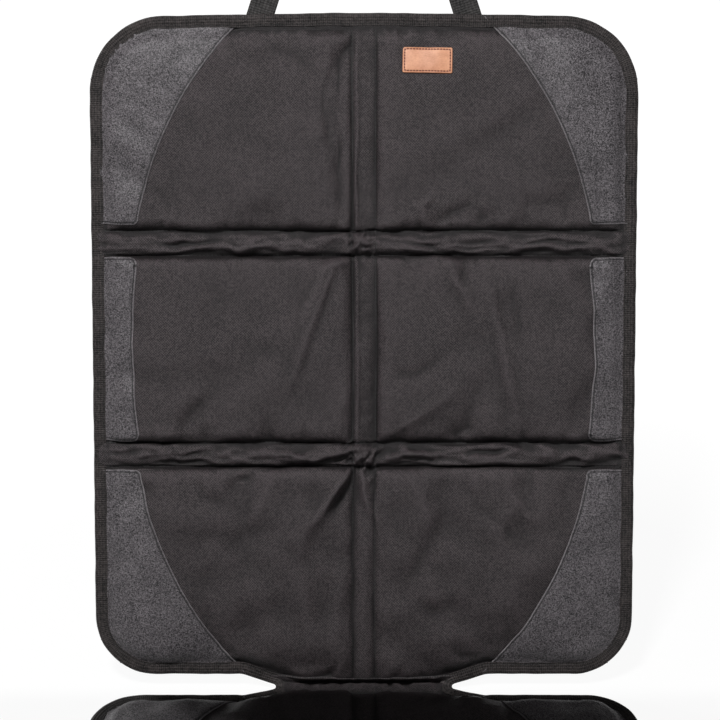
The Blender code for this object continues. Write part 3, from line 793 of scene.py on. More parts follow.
class Nodes:
    """Short calls for the nodes of one new material or world."""

    def __init__(self, owner):
        owner.use_nodes = True
        self.owner = owner
        self.tree = owner.node_tree
        self.shader = self.tree.nodes.get("Principled BSDF")

    def add(self, kind, inputs=None, **settings):
        """A node, with its settings and its inputs by name or number."""
        node = self.tree.nodes.new("ShaderNode" + kind)
        for key, value in settings.items():
            setattr(node, key, value)
        for key, value in (inputs or {}).items():
            if isinstance(value, bpy.types.NodeSocket):
                self.tree.links.new(value, node.inputs[key])
            else:
                node.inputs[key].default_value = value
        return node

    def pattern(self):
        """Pattern coordinates in metres."""
        return self.add("UVMap", uv_map="pattern").outputs["UV"]

    def attribute(self, name):
        """Value that the mesh carries at each vertex."""
        return self.add("Attribute", attribute_name=name).outputs["Fac"]

    def stretched(self, vector, scale):
        """Coordinates stretched by a factor in each direction."""
        return self.add("Mapping", {"Vector": vector, "Scale": scale}).outputs["Vector"]

    def noise(self, vector, scale, detail=2.0, rough=0.5):
        """Noise from 0 to 1."""
        inputs = {"Vector": vector, "Scale": scale, "Detail": detail, "Roughness": rough}
        return self.add("TexNoise", inputs, normalize=True).outputs["Fac"]

    def waves(self, vector, period, direction="X"):
        """Even bands from 0 to 1 with a period in metres."""
        inputs = {"Vector": vector, "Scale": math.pi / 10 / period}
        return self.add("TexWave", inputs, bands_direction=direction).outputs["Fac"]

    def cells(self, vector, scale, feature="F1"):
        """Distance from the middle of cells."""
        inputs = {"Vector": vector, "Scale": scale}
        return self.add("TexVoronoi", inputs, feature=feature).outputs["Distance"]

    def speckle(self, vector, scale):
        """Random value of each cell, from 0 to 1."""
        inputs = {"Vector": vector, "Scale": scale}
        colour = self.add("TexVoronoi", inputs).outputs["Color"]
        return self.add("SeparateColor", {0: colour}).outputs[0]

    def math(self, operation, a, b=0.0, c=0.0):
        """One sum."""
        return self.add("Math", {0: a, 1: b, 2: c}, operation=operation).outputs[0]

    def span(self, value, low, high, to_low=0.0, to_high=1.0):
        """A value brought from one range to another."""
        inputs = {"Value": value, "From Min": low, "From Max": high, "To Min": to_low, "To Max": to_high}
        return self.add("MapRange", inputs).outputs["Result"]

    def stirred(self, tone, field, weight):
        """A tone moved up and down by a field from 0 to 1."""
        return self.math("MULTIPLY_ADD", self.math("SUBTRACT", field, 0.5), weight, tone)

    def line_at(self, inset, place, inner, outer):
        """1 along a line at a distance in from an edge, fading out from inner to outer beside it."""
        away = self.math("ABSOLUTE", self.math("SUBTRACT", inset, place))
        return self.span(away, inner, outer, 1.0, 0.0)

    def mix(self, factor, a, b):
        """Two colours mixed."""
        a, b = (paint if isinstance(paint, bpy.types.NodeSocket) else (*paint, 1) for paint in (a, b))
        return self.add("Mix", {0: factor, 6: a, 7: b}, data_type="RGBA").outputs[2]

    def tinted(self, colour, share, strength, tint):
        """A colour with a share of a tint."""
        return self.mix(self.math("MULTIPLY", share, strength), colour, tint)

    def finish(self, colour, height=None, distance=0.0, strength=1.0, **values):
        """Links and values of the shader, with a bump from a height in metres at a height of 1."""
        self.tree.links.new(colour, self.shader.inputs["Base Color"])
        if height is not None:
            inputs = {"Height": height, "Distance": distance, "Strength": strength}
            normal = self.add("Bump", inputs).outputs["Normal"]
            self.tree.links.new(normal, self.shader.inputs["Normal"])
        for key, value in values.items():
            socket = self.shader.inputs[key.replace("_", " ")]
            if isinstance(value, bpy.types.NodeSocket):
                self.tree.links.new(value, socket)
            else:
                socket.default_value = value
        return self.owner


def new_look(name):
    """Nodes of a new material."""
    return Nodes(bpy.data.materials.new(name))


# Colours, as linear red, green and blue
CLOTH_DARK, CLOTH_LIGHT = (0.0015, 0.0011, 0.0013), (0.0790, 0.0640, 0.0680)
# Painted shade for the cover's hollows and seams, and painted highlight for its crests
CLOTH_PAINTED_SHADE, CLOTH_PAINTED_HIGHLIGHT = (0.0050, 0.0042, 0.0045), (0.1020, 0.0840, 0.0895)
PATCH_DARK, PATCH_LIGHT = (0.015, 0.0136, 0.015), (0.196, 0.179, 0.191)
# Dark of the stitched grooves, and painted highlight along the patches' edges
PATCH_GROOVE, PATCH_PAINTED_EDGE_HIGHLIGHT = (0.010, 0.009, 0.010), (0.30, 0.28, 0.29)
TAPE_DARK, TAPE_LIGHT = (0.001, 0.0009, 0.0009), (0.064, 0.054, 0.053)
WEBBING_DARK, WEBBING_LIGHT = (0.005, 0.005, 0.005), (0.058, 0.054, 0.053)
BACKING_DARK, BACKING_LIGHT = (0.030, 0.029, 0.030), (0.075, 0.073, 0.074)
# Non-slip dots, and painted shade at the backing's drawn-in seams
BACKING_DOT, BACKING_PAINTED_SHADE = (0.014, 0.014, 0.015), (0.008, 0.008, 0.008)
LEATHER_DARK, LEATHER_LIGHT = (0.45, 0.168, 0.077), (0.78, 0.39, 0.225)
LEATHER_GROOVE, LEATHER_EDGE = (0.25, 0.07, 0.03), (0.22, 0.07, 0.03)
FOAM_DARK, FOAM_LIGHT = (0.42, 0.42, 0.40), (0.62, 0.62, 0.60)
DARK_THREAD, LABEL_THREAD = (0.010, 0.010, 0.010), (0.10, 0.020, 0.008)
FLOOR_DARK, FLOOR_LIGHT = (0.50, 0.50, 0.50), (0.54, 0.54, 0.54)
FLAG_BLACK = (0.01, 0.01, 0.01)

# Insets of the stitched grooves of the patches and the label
PATCH_SEAM = 0.0019
LABEL_SEAM = 0.0018

# Pitches of the non-slip dots and the weave of the underside
DOT_PITCH = 0.0040
BACKING_YARN = 0.0009


def cloth_look():
    """Black-brown canvas of the cover: a plain weave with uneven yarns, painted darker in its hollows and
    seams as painted shade and lighter on its crests as a painted highlight.
    """
    made = new_look("cover_cloth")
    pattern = made.pattern()
    across, along = (made.span(made.waves(pattern, 2 * YARN, way), 0.0, 1.0, -1.0, 1.0) for way in "XY")
    weave = made.math("MULTIPLY", across, along)
    grain = made.span(made.speckle(pattern, 1150.0), 0.15, 0.85)
    yarns = made.noise(made.stretched(pattern, (1.0, 0.06, 1.0)), 900.0)
    cloud = made.noise(pattern, 24.0, 4.0, 0.6)
    tone = made.math("MULTIPLY_ADD", weave, 0.95, made.math("MULTIPLY", grain, 1.10))
    tone = made.stirred(made.stirred(tone, yarns, 0.5), cloud, 0.60)
    colour = made.mix(made.span(tone, -0.14, 1.26), CLOTH_DARK, CLOTH_LIGHT)
    # Painted shade in hollows and seams and painted highlight on crests, from the hollow attribute
    hollow = made.attribute("hollow")
    colour = made.mix(made.span(hollow, 0.0, 1.0, 0.0, 0.80), colour, CLOTH_PAINTED_SHADE)
    colour = made.mix(made.span(hollow, -0.8, 0.0, 0.22, 0.0), colour, CLOTH_PAINTED_HIGHLIGHT)
    height = made.math("MULTIPLY_ADD", grain, 1.2, made.math("ABSOLUTE", weave))
    return made.finish(colour, height, 0.00028, 0.9, Roughness=0.54, Specular_IOR_Level=0.42)


def patch_look():
    """Grey leather-look sheet with a fine pebble grain and a painted highlight along its edge."""
    made = new_look("patch_grain")
    pattern = made.pattern()
    pebbles = made.cells(pattern, 860.0, "SMOOTH_F1")
    creases = made.speckle(pattern, 1500.0)
    cloud = made.noise(made.stretched(pattern, (1.0, 1.5, 1.0)), 34.0, 3.0)
    tone = made.stirred(made.math("MULTIPLY_ADD", pebbles, -0.6, creases), cloud, 0.4)
    colour = made.mix(made.span(tone, -0.20, 0.74), PATCH_DARK, PATCH_LIGHT)
    inset = made.attribute("inset")
    colour = made.tinted(colour, made.line_at(inset, PATCH_SEAM, 0.0002, 0.0008), 0.80, PATCH_GROOVE)
    # Painted highlight along the patch's outer edge
    painted_edge_highlight = made.span(inset, 0.00045, 0.00080, 1.0, 0.0)
    colour = made.tinted(colour, painted_edge_highlight, 0.55, PATCH_PAINTED_EDGE_HIGHLIGHT)
    height = made.math("SUBTRACT", creases, pebbles)
    return made.finish(colour, height, 0.00045, 0.9, Roughness=0.54, Specular_IOR_Level=0.40)


def tape_look(name, dark, light, rib, across):
    """Ribbed tape or webbing: fine ribs, and yarns along it."""
    made = new_look(name)
    pattern = made.pattern()
    ribs = made.waves(pattern, rib, "X")
    yarns = made.waves(pattern, across, "Y")
    grain = made.speckle(pattern, 700.0)
    tone = made.math("MULTIPLY_ADD", ribs, 0.35, made.math("MULTIPLY", yarns, 0.25))
    tone = made.stirred(made.math("MULTIPLY_ADD", grain, 0.55, tone), made.noise(pattern, 45.0, 3.0), 1.0)
    colour = made.mix(made.span(tone, 0.10, 1.15), dark, light)
    height = made.math("ADD", ribs, made.math("MULTIPLY_ADD", grain, 0.8, yarns))
    return made.finish(colour, height, 0.00030, 0.85, Roughness=0.66, Specular_IOR_Level=0.3)


def backing_look():
    """Non-slip cloth of the underside, with rows of small raised dots and painted shade at its seams."""
    made = new_look("backing_dots")
    pattern = made.pattern()
    dots = made.math("MULTIPLY", *(made.waves(pattern, DOT_PITCH, way) for way in "XY"))
    dots = made.span(dots, 0.62, 0.86)
    weave = made.math("ADD", *(made.waves(pattern, BACKING_YARN, way) for way in "XY"))
    colour = made.mix(made.noise(pattern, 800.0, 2.0, 0.6), BACKING_DARK, BACKING_LIGHT)
    colour = made.tinted(colour, dots, 0.85, BACKING_DOT)
    # Painted shade at the seams, from the hollow attribute
    colour = made.mix(made.span(made.attribute("hollow"), 0.2, 1.0, 0.0, 0.75), colour, BACKING_PAINTED_SHADE)
    height = made.math("MULTIPLY_ADD", dots, 3.0, made.math("MULTIPLY", weave, 0.35))
    return made.finish(colour, height, 0.00018, 0.8, Roughness=made.span(dots, 0.0, 1.0, 0.80, 0.45))


def label_look():
    """Tan leather: soft mottling, fine pores and creases."""
    made = new_look("label_leather")
    pattern = made.pattern()
    fibre = made.noise(made.stretched(pattern, (1.0, 2.2, 1.0)), 500.0, 4.0, 0.6)
    tone = made.math("MULTIPLY_ADD", fibre, 0.5, made.noise(pattern, 60.0, 4.0, 0.6))
    colour = made.mix(made.span(tone, 0.45, 1.05), LEATHER_DARK, LEATHER_LIGHT)
    inset = made.attribute("inset")
    colour = made.tinted(colour, made.line_at(inset, LABEL_SEAM, 0.0003, 0.0008), 0.55, LEATHER_GROOVE)
    edge = made.span(inset, 0.0001, 0.0006, 1.0, 0.0)
    colour = made.tinted(colour, edge, 0.6, LEATHER_EDGE)
    height = made.math("SUBTRACT", fibre, made.cells(pattern, 1500.0))
    return made.finish(colour, height, 0.00012, 0.6, Roughness=0.5)


def thread_look(name, colour):
    """Twisted sewing thread."""
    made = new_look(name)
    twist = made.waves(made.pattern(), 0.0006, "DIAGONAL")
    light = tuple(channel * 1.9 + 0.01 for channel in colour)
    return made.finish(made.mix(twist, colour, light), twist, 0.00005, 0.6, Roughness=0.6)


# Pieces

def make_cover():
    """The quilted cover, as a thin closed solid."""
    u, v = np.meshgrid(us, vs)
    under = settled - np.array([0, 0, CLOTH_THICKNESS])
    cover = sheet_solid("quilted_cover", fold(settled), fold(under), np.stack([u, v], axis=-1),
                        cell_means(inside) > COVER_CUT, cloth_look(), cover_painted_shading())
    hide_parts("front_cloth")


def make_backing():
    """Underside cloth, drawn in at the seams and a little full under the pads."""
    low_u, low_v = mesh_lines(BACKING_MESH_MARGIN, BACKING_COARSENESS, BACKING_COARSENESS,
                              SEAT_BACKING_COARSENESS)
    u, v = np.meshgrid(low_u, low_v)
    within = inside_mat(u, v)
    full = pad_share(u, ACROSS) * pad_share(v, ALONG) * seam_share(within - BORDER)
    upright = ramp(v - FOLD_LENGTH, 0.03) * ramp(BACK_TOP - 0.038 - v, 0.03)
    fine = crests(wander(u + 0.3 * v, v * 0.8, 0.030, 52)) * 0.35 + 0.5 * wander(u, v, 0.022, 53)
    sag = full * (0.00075 + upright * (0.0024 + 0.0008 * wander(u, v, 0.06, 51) + 0.0009 * fine))
    bottom = np.stack([u, v, BACKING_BASE - sag], axis=-1)
    top = bottom + np.array([0, 0, BACKING_THICKNESS])
    keep = cell_means(within) > BACKING_CUT
    # 1 - full is the painted shade at the seams, darkest where the backing is drawn in
    backing = sheet_solid("backing", fold(top), fold(bottom), np.stack([u, v], axis=-1), keep,
                          backing_look(), 1 - full)
    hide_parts("backing_cloth")


# Patches and label: inset from the edge and lift above the cover, with a groove under the stitches
PATCH_PROFILE = ((0.0, 0.00040), (0.00015, 0.00085), (0.0005, 0.00115), (0.0012, 0.00110),
                 (PATCH_SEAM, 0.00062), (0.0026, 0.00105), (0.0036, 0.00115))
PATCH_THICKNESS = 0.0006
PATCH_PITCH = 0.0042
LABEL_PROFILE = ((0.0, 0.00060), (0.00010, 0.00110), (0.0004, 0.00138), (0.0012, 0.00140),
                 (LABEL_SEAM, 0.00118), (0.0024, 0.00138), (0.0034, 0.00140))
LABEL_THICKNESS = 0.0010
LABEL_PITCH = 0.0025

PATCH_SEAM_OUT = 0.0985
PATCH_SEAM_MIDDLE = 0.165
PATCH_SEAM_IN = 0.197
PATCH_BAND_MARGIN = 0.006
PATCH_CORNER_RADIUS = 0.007
PATCH_REACH = 0.0125
SIDE_PATCH_MARGIN = 0.002
SIDE_PATCH_HOLLOW = 0.0055

LABEL_HALF_WIDTH = 0.0425 / 2
LABEL_HALF_HEIGHT = 0.0225 / 2
LABEL_CORNER_RADIUS = 0.0014
LABEL_ACROSS = 0.0553
LABEL_BELOW_TOP = 0.0420
LABEL_TURN = math.radians(-1.2)

# Stitches as pitch, length and thread radius
PATCH_STITCH = (0.0032, 0.0023, 0.00040)
LABEL_STITCH = (0.00255, 0.0017, 0.00058)
QUILT_STITCH = (0.0036, 0.0026, 0.00045)
STRAP_STITCH = (0.0032, 0.0023, 0.00030)

# Rings of one stitch: place in half lengths, width and height in thread radii
STITCH_RINGS = ((-1.0, 0.45, -0.7), (-0.5, 1.0, 0.35), (0.5, 1.0, 0.35), (1.0, 0.45, -0.7))
STITCH_SIDES = 5
STITCH_LOOK = 0.0004          # how far on either side a stitch takes its direction from
SEAM_LIFT = 0.0001            # of the quilting's stitches above the cover
PATCH_SEAM_LIFT = 0.00070
LABEL_SEAM_LIFT = 0.00130
TAPE_COVERS = 0.0095          # inset up to which the tape hides a patch's stitches


def make_panel(name, corners, profile, thickness, pitch, look, node):
    """Sheet sewn on the cover: rolled edge, a groove under its stitches, and thickness."""
    bm = bmesh.new()
    rings = []
    for inset, lift in profile:
        rings.append([bm.verts.new((u, v, lift)) for u, v in rounded(corners, inset)])
    for outer, inner in zip(rings, rings[1:]):
        for k in range(len(outer)):
            bm.faces.new((outer[k - 1], outer[k], inner[k], inner[k - 1]))
    bm.faces.new(rings[-1])
    spots = np.array([(u, v) for u, v, _ in corners])
    for axis in (0, 1):
        normal = Vector((axis == 0, axis == 1, 0))
        low, high = spots[:, axis].min(), spots[:, axis].max()
        for place in np.arange(math.ceil(low / pitch) * pitch, high, pitch):
            geom = bm.verts[:] + bm.edges[:] + bm.faces[:]
            bmesh.ops.bisect_plane(bm, geom=geom, dist=1e-5, plane_co=normal * place, plane_no=normal)
    middles = np.array([face.calc_center_median()[:2] for face in bm.faces])
    depth = inside_mat(middles[:, 0], middles[:, 1], 8.0)
    outside = [face for face, inset in zip(bm.faces, depth) if inset < PANEL_CUT]
    bmesh.ops.delete(bm, geom=outside, context="FACES")
    grown = bmesh.ops.extrude_face_region(bm, geom=bm.faces[:])["geom"]
    for vert in {item for item in grown if isinstance(item, bmesh.types.BMVert)}:
        vert.co.z = max(vert.co.z - thickness, 0.00012)
    bmesh.ops.recalc_face_normals(bm, faces=bm.faces)
    bm.verts.index_update()
    flat = np.array([vert.co[:] for vert in bm.verts])
    faces = [[vert.index for vert in face.verts] for face in bm.faces]
    bm.free()
    panel = mesh_object(name, on_cover(flat), faces, flat[:, :2], look)
    add_values(panel, "inset", np.abs(distance_inside(flat[:, 0], flat[:, 1], rounded(corners))))
    face_outwards(panel)
    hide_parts(node)


def corner_patch(edge, inner_edge):
    """Outline of the patch at a right-hand corner, and its visible seam."""
    way = math.copysign(1, inner_edge - edge)
    length = abs(inner_edge - edge)
    start = (PATCH_SEAM_OUT, edge - way * 0.006)
    middle = (PATCH_SEAM_MIDDLE, edge + way * length * 0.465)
    end = (PATCH_SEAM_IN, inner_edge - way * PATCH_CORNER_RADIUS)
    corners = [(u, v, 0.0) for u, v in arc_through(start, middle, end)]
    corners.append((PATCH_SEAM_IN + 0.0005, inner_edge, PATCH_CORNER_RADIUS * 0.8))
    corners.append((HALF_WIDTH + PATCH_REACH, inner_edge, 0.0))
    corners.append((HALF_WIDTH + PATCH_REACH, edge - way * 0.006, 0.0))
    return corners if way < 0 else corners[::-1]


def side_patch():
    """Outline of the patch at the right-hand side of the middle row."""
    low = BAND_LOW + BAND + SIDE_PATCH_MARGIN
    high = BAND_HIGH - SIDE_PATCH_MARGIN
    hollow = PATCH_SEAM_IN + SIDE_PATCH_HOLLOW
    arc = arc_through((PATCH_SEAM_IN, high), (hollow, (low + high) / 2), (PATCH_SEAM_IN, low))
    corners = [(u, v, 0.0) for u, v in arc]
    corners[0] = (PATCH_SEAM_IN, high, PATCH_CORNER_RADIUS)
    corners[-1] = (PATCH_SEAM_IN, low, PATCH_CORNER_RADIUS)
    outer = HALF_WIDTH + PATCH_REACH
    return corners + [(outer, low, 0.0), (outer, high, 0.0)]


def patch_outlines():
    """Corners of every patch by node name, anticlockwise."""
    margin = PATCH_BAND_MARGIN
    right = {
        "back_top": corner_patch(BACK_TOP, BAND_HIGH + BAND + margin),
        "back_middle": side_patch(),
        "back_bottom": corner_patch(BACK_BOTTOM, BAND_LOW - margin / 2),
        "seat_rear": corner_patch(SEAT_REAR, SEAT_BAND + BAND + margin),
        "seat_front": corner_patch(SEAT_FRONT, SEAT_BAND - margin),
    }
    found = {}
    for place, corners in right.items():
        found[f"patch_{place}_right"] = corners
        found[f"patch_{place}_left"] = [(-u, v, radius) for u, v, radius in reversed(corners)]
    return found


def make_patches():
    """Leather-look patches with their topstitching."""
    look = patch_look()
    rows = []
    for node, corners in patch_outlines().items():
        make_panel(node.replace("patch", "grey_patch"), corners, PATCH_PROFILE, PATCH_THICKNESS,
                   PATCH_PITCH, look, node)
        rows.append((visible_part(rounded(corners, PATCH_SEAM)), PATCH_SEAM_LIFT))
    make_threads("patch_threads", rows, PATCH_STITCH, thread_look("dark_thread", DARK_THREAD))


def visible_part(seam):
    """The longest stretch of a closed seam that lies clear of the edge tape."""
    clear = inside_mat(seam[:, 0], seam[:, 1], 8.0) > TAPE_COVERS
    first = next(k for k in range(len(seam)) if clear[k] and not clear[k - 1])
    turned = np.roll(seam, -first, axis=0)
    clear = np.roll(clear, -first)
    last = next((k for k in range(len(seam)) if not clear[k]), len(seam))
    return turned[:last]


def make_threads(name, rows, stitch, look, place=on_cover):
    """Rows of single stitches along lines of the pattern. Each row is (points, lift)."""
    pitch, length, radius = stitch
    angles = np.arange(STITCH_SIDES) * 2 * math.pi / STITCH_SIDES
    size = len(STITCH_RINGS) * STITCH_SIDES
    one = [list(face) for face in grid_faces(len(STITCH_RINGS), STITCH_SIDES, wrap_columns=True)]
    one.append(list(range(STITCH_SIDES)))
    one.append([size - STITCH_SIDES + k for k in reversed(range(STITCH_SIDES))])
    blocks = []
    for line, lift in rows:
        line = np.asarray(line)
        done = lengths_along(line)
        count = int(done[-1] // pitch)
        if count < 1:
            continue
        centres = (np.arange(count) + 0.5) * done[-1] / count
        rings = []
        for step, width, dip in STITCH_RINGS:
            along = centres + step * length / 2
            spot = at_lengths(along, done, line)
            ahead = at_lengths(along + STITCH_LOOK, done, line) - at_lengths(along - STITCH_LOOK, done, line)
            ahead /= np.maximum(np.hypot(*ahead.T), 1e-12)[:, None]
            across = radius * width * np.cos(angles)
            rise = lift + radius * (dip + width * np.sin(angles))
            rings.append(np.stack([
                spot[:, :1] - ahead[:, 1:] * across,
                spot[:, 1:] + ahead[:, :1] * across,
                np.broadcast_to(rise, (count, STITCH_SIDES)),
            ], axis=-1))
        blocks.append(np.stack(rings, axis=1).reshape(-1, 3))
    points = np.concatenate(blocks)
    faces = [[base + corner for corner in face] for base in range(0, len(points), size) for face in one]
    threads = mesh_object(name, place(points), faces, points[:, :2], look)
    face_outwards(threads)


def laid(points, heights):
    """Folded places of pattern points at other heights."""
    return fold(np.column_stack([points[:, :2], heights]))


def quilt_rows():
    """Lines of the quilting's seams on the pattern, with the lift of their stitches."""
    inset = BORDER - 0.0020
    across = [(place, HALF_WIDTH - inset)
              for start, end, kind in ALONG if kind == "ridge" for place in (start, end)]
    across.append((0.0, NECK_WIDTH / 2 - inset))
    lines = [((-half, place), (half, place)) for place, half in across]
    steps = np.linspace(SEAT_FRONT + inset, BACK_TOP - inset, 120)
    lines += [np.column_stack([np.full(120, side * HALF_COLUMN), steps]) for side in (-1, 1)]
    return [(line, SEAM_LIFT) for line in lines]


def make_quilt_threads():
    """Dark stitches along every seam of the quilting, on the cover and on the underside."""
    look = thread_look("black_thread", DARK_THREAD)
    make_threads("quilt_threads", quilt_rows(), QUILT_STITCH, look)
    make_threads("quilt_threads_rear", quilt_rows(), QUILT_STITCH, look,
                 lambda points: laid(points, BACKING_BASE - points[:, 2]))


def label_corners():
    """Corners of the label, anticlockwise."""
    cos, sin = math.cos(LABEL_TURN), math.sin(LABEL_TURN)
    middle_v = BACK_TOP + TOP_ARCH - LABEL_BELOW_TOP
    corners = []
    for u, v in ((-1, -1), (1, -1), (1, 1), (-1, 1)):
        u, v = u * LABEL_HALF_WIDTH, v * LABEL_HALF_HEIGHT
        corners.append((LABEL_ACROSS + u * cos - v * sin, middle_v + u * sin + v * cos, LABEL_CORNER_RADIUS))
    return corners


def make_label():
    """Bare leather label with its stitched border."""
    corners = label_corners()
    make_panel("tan_label", corners, LABEL_PROFILE, LABEL_THICKNESS, LABEL_PITCH, label_look(),
               "leather_label")
    make_threads("label_threads", [(closed(rounded(corners, LABEL_SEAM)), LABEL_SEAM_LIFT)], LABEL_STITCH,
                 thread_look("label_thread", LABEL_THREAD))


# Edge tape

TAPE_SECTION = (               # inset from the rim and height, from the lower lip round to the upper
    (0.0110, 0.00015), (0.0092, 0.00035), (0.0070, 0.00012), (0.0040, 0.00002), (0.0018, 0.00005),
    (0.0006, 0.0006), (0.0001, 0.0014), (0.0000, 0.0023), (0.0002, 0.0033), (0.0008, 0.0041),
    (0.0018, 0.0046), (0.0035, 0.0047), (0.0060, 0.00465), (0.0080, 0.00450), (0.0092, 0.00425),
    (0.0103, 0.00440), (0.0109, 0.00435), (0.0110, 0.00410),
)
TAPE_MIDDLE = 0.0023          # height that parts its lower half from its upper one
TAPE_THICKNESS = 0.0006
TAPE_STITCH_INSET = 0.0092
TAPE_STITCH_LIFT = 0.00420
TAPE_PITCH = 0.0016
TAPE_DROP = 0.0008            # how much lower the tape lies where no patch is under it
TAPE_STITCH = (TAPE_PITCH * 2, 0.0023, 0.00028)


def resampled(outline, pitch):
    """Closed outline at an even pitch, with inward normals and lengths along it."""
    line = closed(outline)
    done = lengths_along(line)
    count = int(round(done[-1] / pitch / 2)) * 2
    along = np.arange(count) * done[-1] / count
    spots = at_lengths(along, done, line)
    ahead = np.roll(spots, -1, axis=0) - np.roll(spots, 1, axis=0)
    ahead /= np.linalg.norm(ahead, axis=1)[:, None]
    return spots, np.stack([-ahead[:, 1], ahead[:, 0]], axis=1), along


def tape_loop():
    """The tape's section as a closed loop of (inset, height)."""
    section = np.array(TAPE_SECTION)
    inset = np.maximum(section[:, 0], TAPE_THICKNESS + 0.0001)
    way = np.where(section[:, 1] < TAPE_MIDDLE, 1, -1)
    height = np.clip(section[:, 1] + way * TAPE_THICKNESS, 0.0010, BINDING_HEIGHT - 0.0010)
    return np.concatenate([section, np.stack([inset, height], axis=1)[::-1]])


def make_tape():
    """Tape folded over the rim, drawn in by each stitch."""
    spots, inward, along = resampled(rounded(mat_corners()), TAPE_PITCH)
    bare = 1 - covered_share(*(spots + inward * 0.008).T, patch_outlines().values())
    loop = tape_loop()
    rng = np.random.default_rng(11)
    waves = sum(rng.uniform(0.4, 1.0) * np.sin(along * 2 * math.pi * cycles / (along[-1] + TAPE_PITCH)
                                               + rng.uniform(0, 6.28)) for cycles in (41, 67, 113, 171))
    pucker = 0.5 - 0.5 * np.cos(np.arange(len(along)) * math.pi)
    near_stitch = np.exp(-((loop[:, 0] - TAPE_STITCH_INSET) / 0.0014) ** 2)
    upper = loop[:, 1] > TAPE_MIDDLE
    raised = ramp(loop[:, 1] - 0.0012, 0.0028)
    inset = loop[None, :, 0] + 0.00026 * waves[:, None] * ramp(loop[None, :, 0] - 0.003, 0.006)
    inset += 0.00016 * np.roll(waves, 31)[:, None]
    height = loop[None, :, 1] - TAPE_DROP * bare[:, None] * raised[None, :]
    height -= 0.00018 * pucker[:, None] * (near_stitch * upper)[None, :]
    height += 0.00014 * waves[:, None] * (upper * np.clip(loop[:, 0] / 0.004, 0, 1))[None, :]
    points = np.stack([spots[:, :1] + inward[:, :1] * inset, spots[:, 1:] + inward[:, 1:] * inset,
                       np.maximum(height, 0.00002)], axis=-1)
    pattern = np.stack(np.broadcast_arrays(along[:, None], lengths_along(loop)[None, :]), axis=-1)
    faces = grid_faces(len(spots), len(loop), wrap_rows=True, wrap_columns=True)
    look = tape_look("edge_tape", TAPE_DARK, TAPE_LIGHT, 0.0019, 0.0026)
    tape = mesh_object("edge_tape", fold(points), faces, pattern, look)
    face_outwards(tape)
    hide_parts("edge_binding")
    make_tape_threads(closed(spots + inward * TAPE_STITCH_INSET), TAPE_STITCH_LIFT - TAPE_DROP * closed(bare))


def make_tape_threads(seam, lifts):
    """Stitches of the edge tape, on its upper and lower lips."""
    look = thread_look("tape_thread", DARK_THREAD)
    sides = {
        "front": lambda points: laid(points, points[:, 2] + lifts[nearest_index(points, seam)]),
        "rear": lambda points: laid(points, np.maximum(0.00035 - points[:, 2], 0.00002)),
    }
    for side, place in sides.items():
        make_threads(f"tape_threads_{side}", [(seam, 0.0)], TAPE_STITCH, look, place)


def nearest_index(points, seam):
    """Index of the nearest seam point for each point."""
    found = np.empty(len(points), int)
    for start in range(0, len(points), 2000):
        part = points[start:start + 2000, None, :2]
        found[start:start + 2000] = ((part - seam[None]) ** 2).sum(axis=2).argmin(axis=1)
    return found


# Headrest strap

STRAP_HALF_SPREAD = 0.090
STRAP_OVERLAP = 0.032
STRAP_LEAN = math.radians(18.0)
STRAP_RISE = 0.125
STRAP_TWIST_START = 0.006
STRAP_TWIST_LENGTH = 0.060
WEBBING_HALF = 0.01175
WEBBING_THICKNESS = 0.0013
STRAP_HEIGHT = -0.0003 - WEBBING_THICKNESS / 2
STRAP_BOX_MARGIN = 0.0025     # between the sewn box and the webbing's edges
STRAP_BOX_LOW = -STRAP_OVERLAP + 0.003
STRAP_BOX_HIGH = -0.005
STRAP_BOX = ((STRAP_BOX_LOW, -1), (STRAP_BOX_LOW, 1), (STRAP_BOX_HIGH, 1), (STRAP_BOX_HIGH, -1))


def strap_route():
    """Route of the strap's middle on the pattern at an even pitch, and its lengths."""
    top = BACK_TOP + TOP_ARCH
    lean = math.tan(STRAP_LEAN)
    leg = STRAP_RISE * 0.45
    rises = np.linspace(-STRAP_OVERLAP, leg, 40)[:-1]
    half = [(STRAP_HALF_SPREAD - rise * lean, top + rise) for rise in rises]
    start = np.array((STRAP_HALF_SPREAD - leg * lean, top + leg))
    handle = start + np.array((-math.sin(STRAP_LEAN), math.cos(STRAP_LEAN))) * (STRAP_RISE - leg) * 0.75
    peak = np.array((0.0, top + STRAP_RISE))
    shoulder = np.array((start[0] * 0.62, peak[1]))
    for t in np.linspace(0, 1, 60):
        half.append(tuple(start * (1 - t) ** 3 + 3 * handle * t * (1 - t) ** 2
                          + 3 * shoulder * t * t * (1 - t) + peak * t ** 3))
    whole = np.array(half + [(-u, v) for u, v in reversed(half[:-1])])
    done = lengths_along(whole)
    along = np.linspace(0, done[-1], 281)
    return at_lengths(along, done, whole), along


